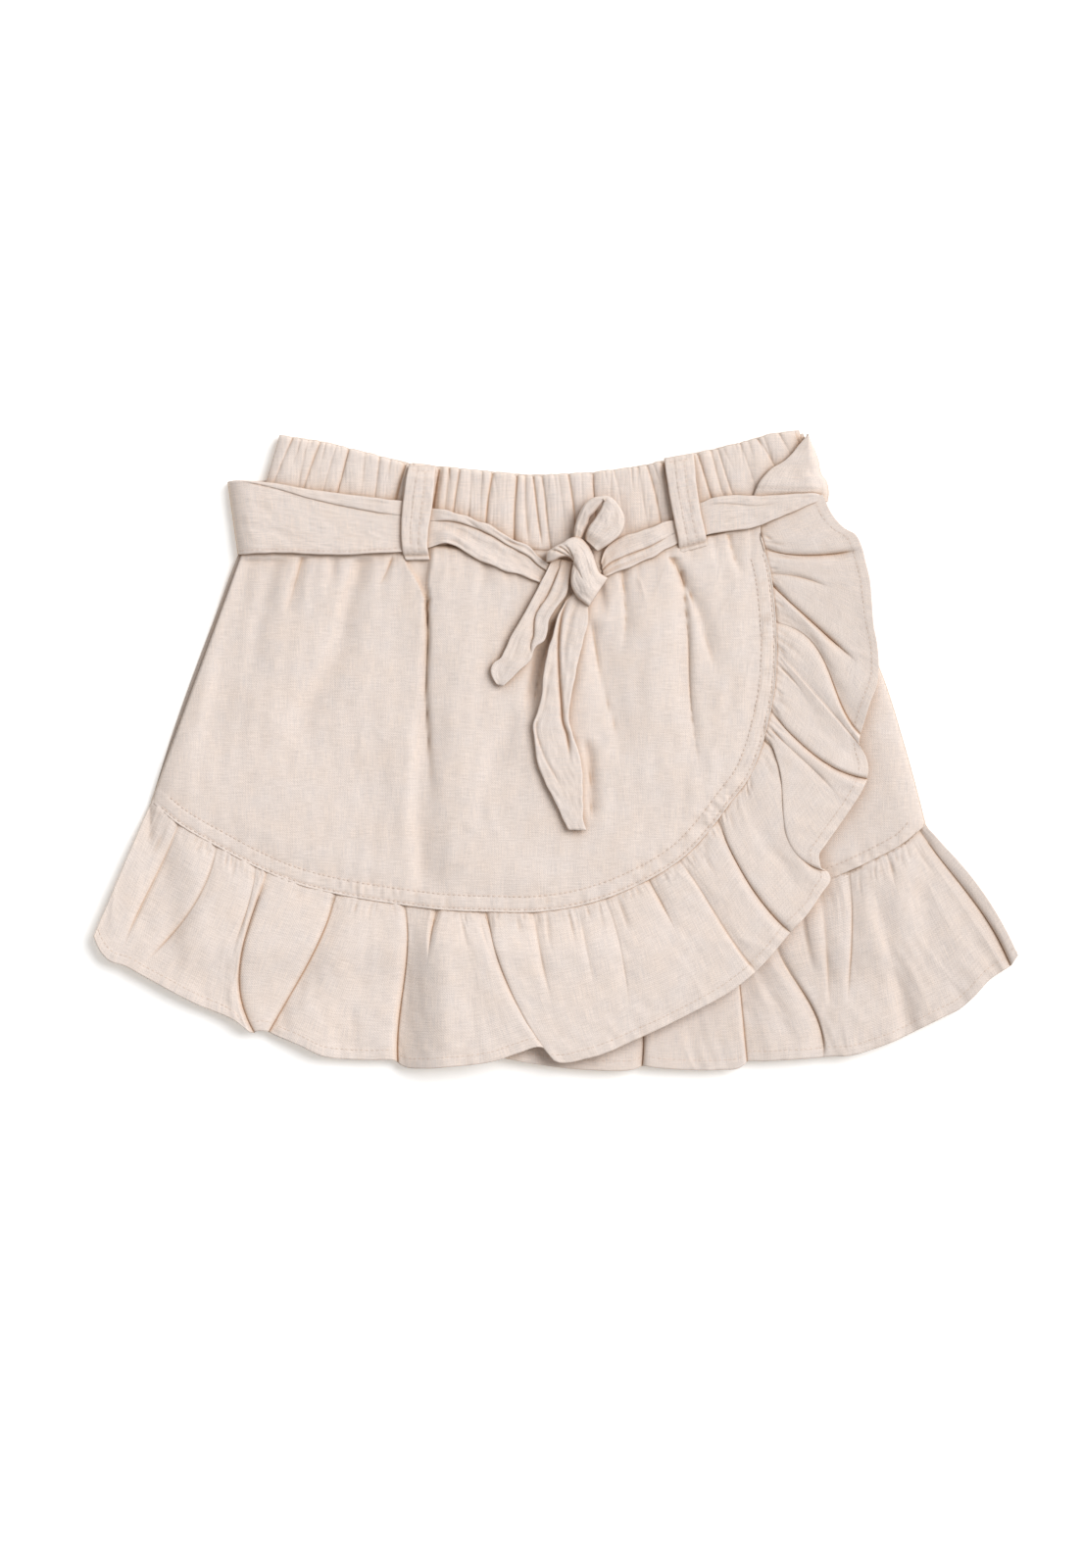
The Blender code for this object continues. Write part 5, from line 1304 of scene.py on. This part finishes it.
def make_belt():
    floor = BELT_BACK_LOW + CLOTH + SEAM_GAP + CLOTH

    def turn(share, size):
        length, width = size
        return roll(share * length, width)

    def flat(x, relief, rise):
        return BELT_LOW + CLOTH + (rise + relief) * loop_press(x)

    def middle(x, y, u, v, relief):
        return flat(x, relief, 1.6)

    def turned_left(x, y, u, v, relief):
        return toward(floor, flat(x, relief, 0.9), turn(u, LEFT_TURN))

    def turned_right(x, y, u, v, relief):
        return toward(floor, flat(x, relief, 0.8), turn(1 - u, RIGHT_TURN))

    def corner(x, y, u, v, relief):
        relief = relief - 1.3 * ease((u - 0.82) / 0.12) - 0.5 * bump((1 - u) * CORNER_LENGTH - 5.0, 0.5, 0.7)
        return toward(floor, BELT_LOW + CLOTH + 0.5 + relief, turn(1 - v, CORNER_TURN))

    def behind(x, y, u, v, relief):
        return BELT_BACK_LOW + CLOTH - 0.1 + 0.3 * relief

    stretches = [
        ("belt_left_stretch", BELT_LEFT, turned_left, 90, 64, "waistband_front_cloth", 0.15),
        ("belt_inner_left_stretch", BELT_INNER_LEFT, middle, 70, 50, "wrap_panel_cloth", 0.35),
        ("belt_inner_right_stretch", BELT_INNER_RIGHT, middle, 50, 40, "wrap_panel_cloth", 0.35),
        ("belt_right_stretch", BELT_RIGHT, turned_right, 72, 40, "waistband_front_cloth", 0.15),
        ("belt_corner_stretch", BELT_CORNER, corner, 44, 36, "waistband_front_cloth", 0.15),
        ("belt_back_stretch", BELT_BACK, behind, 110, 16, "table", 0.15),
    ]
    for k, (node, ribbon, low, columns, rows, below, wander) in enumerate(stretches):
        points = strip(ribbon, low, columns, rows, 100 + 3 * k, wander=wander)
        length, width = ribbon_size(ribbon)
        add_ribbon(node + "_cloth", node, points)
        if node == "belt_left_stretch":
            belt_rows.append(inside_edge(points, STITCH_INSET))


def make_tails():
    def draped(x, y, u, v, relief):
        return TAIL_LOW + CLOTH + (1.2 + relief) * (0.3 + 0.7 * ease(u / 0.15))

    for k, (node, ribbon, columns) in enumerate(
        [("belt_tail_right", TAIL_LEFT, 64), ("belt_tail_left", TAIL_RIGHT, 96)]
    ):
        points = strip(ribbon, draped, columns, 44, 130 + 3 * k, edge_drop=0.45, groove=0.05, wander=0.15)
        flat = (ribbon_size(ribbon)[0], 0.018)
        add_ribbon(node + "_cloth", node, points)


def make_loops():
    lift = BELT_LOW + LOOP_LIFT - LOOP_END_LOW

    def over_belt(x, y, u, v, relief):
        foot = 0.9 * bump((1 - u) * LOOP_LENGTH - 2.4, 0.5, 0.5)
        return LOOP_END_LOW + CLOTH + lift * ease(np.sin(np.pi * u) / 0.45) + relief - foot

    def behind(x, y, u, v, relief):
        return CLOTH + 0.2 * relief

    def loop_strip(ribbon, low):
        return strip(ribbon, low, 60, 27, 141, edge_drop=0.5, stitched=LOOP_WIDTH / 3, wander=0.12)

    for node, ribbon in FRONT_LOOPS.items():
        points = loop_strip(ribbon, over_belt)
        add_ribbon(node + "_cloth", node, points)
        for line in (points[9, 3:-3], points[-10, 3:-3], points[3:-3, 3], points[3:-3, -5]):
            loop_rows.append((line, np.tile(UP, (len(line), 1))))
    for node, ribbon in BACK_LOOPS.items():
        points = loop_strip(ribbon, behind)
        add_ribbon(node + "_cloth", node, points, SHELL)


def make_knot():
    def height(x, y, u, v, relief):
        full = 0.86 * np.sin(np.pi * np.clip(v, 0, 1)) ** 0.45 * ease(np.minimum(u + 0.1, 1.08 - u) / 0.25)
        ends = 1.4 * (1 - roll((1 - u) * KNOT_LENGTH, 2.4)) + 1.2 * (1 - roll(u * KNOT_LENGTH, 2.4))
        sides = 1.2 * (1 - roll(np.minimum(v, 1 - v) * KNOT_WIDTH, 1.6))
        return KNOT_LOW + KNOT_EDGE + KNOT_CROWN * full + relief - ends - sides

    points = strip(KNOT, height, 130, 56, 150)
    add_ribbon("knot", "belt_knot", points)


def make_bow():
    def height(x, y, u, v, relief):
        dome = np.sin(np.pi * np.clip(v, 0, 1)) ** 0.6
        rise = BOW_LOW + 2.2 * ease(u / 0.4) + 1.0 * ease((u - 0.45) / 0.1) - 1.6 * ease((u - 0.88) / 0.12)
        return rise + 1.8 * dome + relief

    points = strip(BOW, height, 110, 34, 160, edge_drop=1.2)
    add_ribbon("bow", "belt_bow", points)


# ---------------------------------------------------------------- the table, light and camera
CAMERA_XY = (-7.2, -16.6)
CAMERA_HEIGHT = 2.4  # metres
FRAME_HEIGHT = 768.0  # what the picture spans down the table
SENSOR = 36.0
DAYLIGHT = (0.955, 1.0, 1.10)  # a little cooler than the cloth, whose creases, with their painted shade, stay warm
SKY_STRENGTH = 0.46
SUN_STRENGTH, SUN_WIDTH, SUN_ELEVATION, SUN_AZIMUTH = 2.75, 40, 47, 30
TABLE_SURFACE = {
    "Base Color": (0.975, 0.935, 0.86, 1), "Roughness": 0.9, "Specular IOR Level": 0.1,
    "Emission Color": (1.0, 0.96, 0.88, 1), "Emission Strength": 0.26,
}


def make_stage():
    scene = bpy.context.scene
    bpy.ops.mesh.primitive_plane_add(size=60.0, location=(0, 0, 0))
    table = bpy.context.object
    table.name = "table"
    table.data.materials.append(new_material("table_white", TABLE_SURFACE)[0])

    world = bpy.data.worlds.new("studio")
    world.use_nodes = True
    sky = world.node_tree.nodes["Background"]
    sky.inputs["Color"].default_value = (*DAYLIGHT, 1)
    sky.inputs["Strength"].default_value = SKY_STRENGTH
    scene.world = world

    sun = bpy.data.lights.new("key", "SUN")
    sun.energy = SUN_STRENGTH
    sun.color = DAYLIGHT
    sun.angle = math.radians(SUN_WIDTH)
    lamp = bpy.data.objects.new("key", sun)
    lamp.rotation_euler = (0, math.radians(90 - SUN_ELEVATION), math.radians(SUN_AZIMUTH))
    scene.collection.objects.link(lamp)

    camera = bpy.data.objects.new("camera", bpy.data.cameras.new("camera"))
    camera.data.sensor_width = SENSOR
    camera.data.lens = SENSOR * CAMERA_HEIGHT / (FRAME_HEIGHT * MM)
    camera.location = (CAMERA_XY[0] * MM, CAMERA_XY[1] * MM, CAMERA_HEIGHT)
    scene.collection.objects.link(camera)
    scene.camera = camera
    scene.view_settings.view_transform = "Standard"


garment = bpy.data.collections.new("skort")
bpy.context.scene.collection.children.link(garment)
SKIRT = linen("skirt_linen_weave", 1)
RUFFLE = linen("ruffle_linen_weave", 2)
SHORTS = linen("shorts_linen_weave", 3, 0.98)
# Painted shade: the inner panel and inner ruffle, which lie lower, get a darker copy of the linen.
INNER_SHADED_LINEN = linen("inner_linen_painted_shade", 6, 0.955)
BAND_LINEN = linen("waistband_linen_weave", 4)
BELT = linen("belt_linen_weave", 5, 0.99)
THREAD = thread("sewing_thread")
stitch_rows, hem_rows, belt_rows, loop_rows = [], [], [], []

make_stage()
make_back_panel()
make_back_ruffle()
make_shorts()
make_inner_panel()
make_inner_ruffle()
make_wrap_panel()
make_wrap_ruffle()
make_waistbands()
make_belt()
make_tails()
make_loops()
make_knot()
make_bow()
for stitch_name, lines, material, radius, slot in (
    ("skirt_stitches", stitch_rows, THREAD, 0.18, "skirt_linen"),
    ("hem_stitches", hem_rows, RUFFLE, 0.09, "ruffle_linen"),
    ("belt_stitches", belt_rows, THREAD, 0.16, "belt_linen"),
    ("loop_stitches", loop_rows, THREAD, 0.16, "loop_linen"),
):
    sew(stitch_name, lines, material, radius)
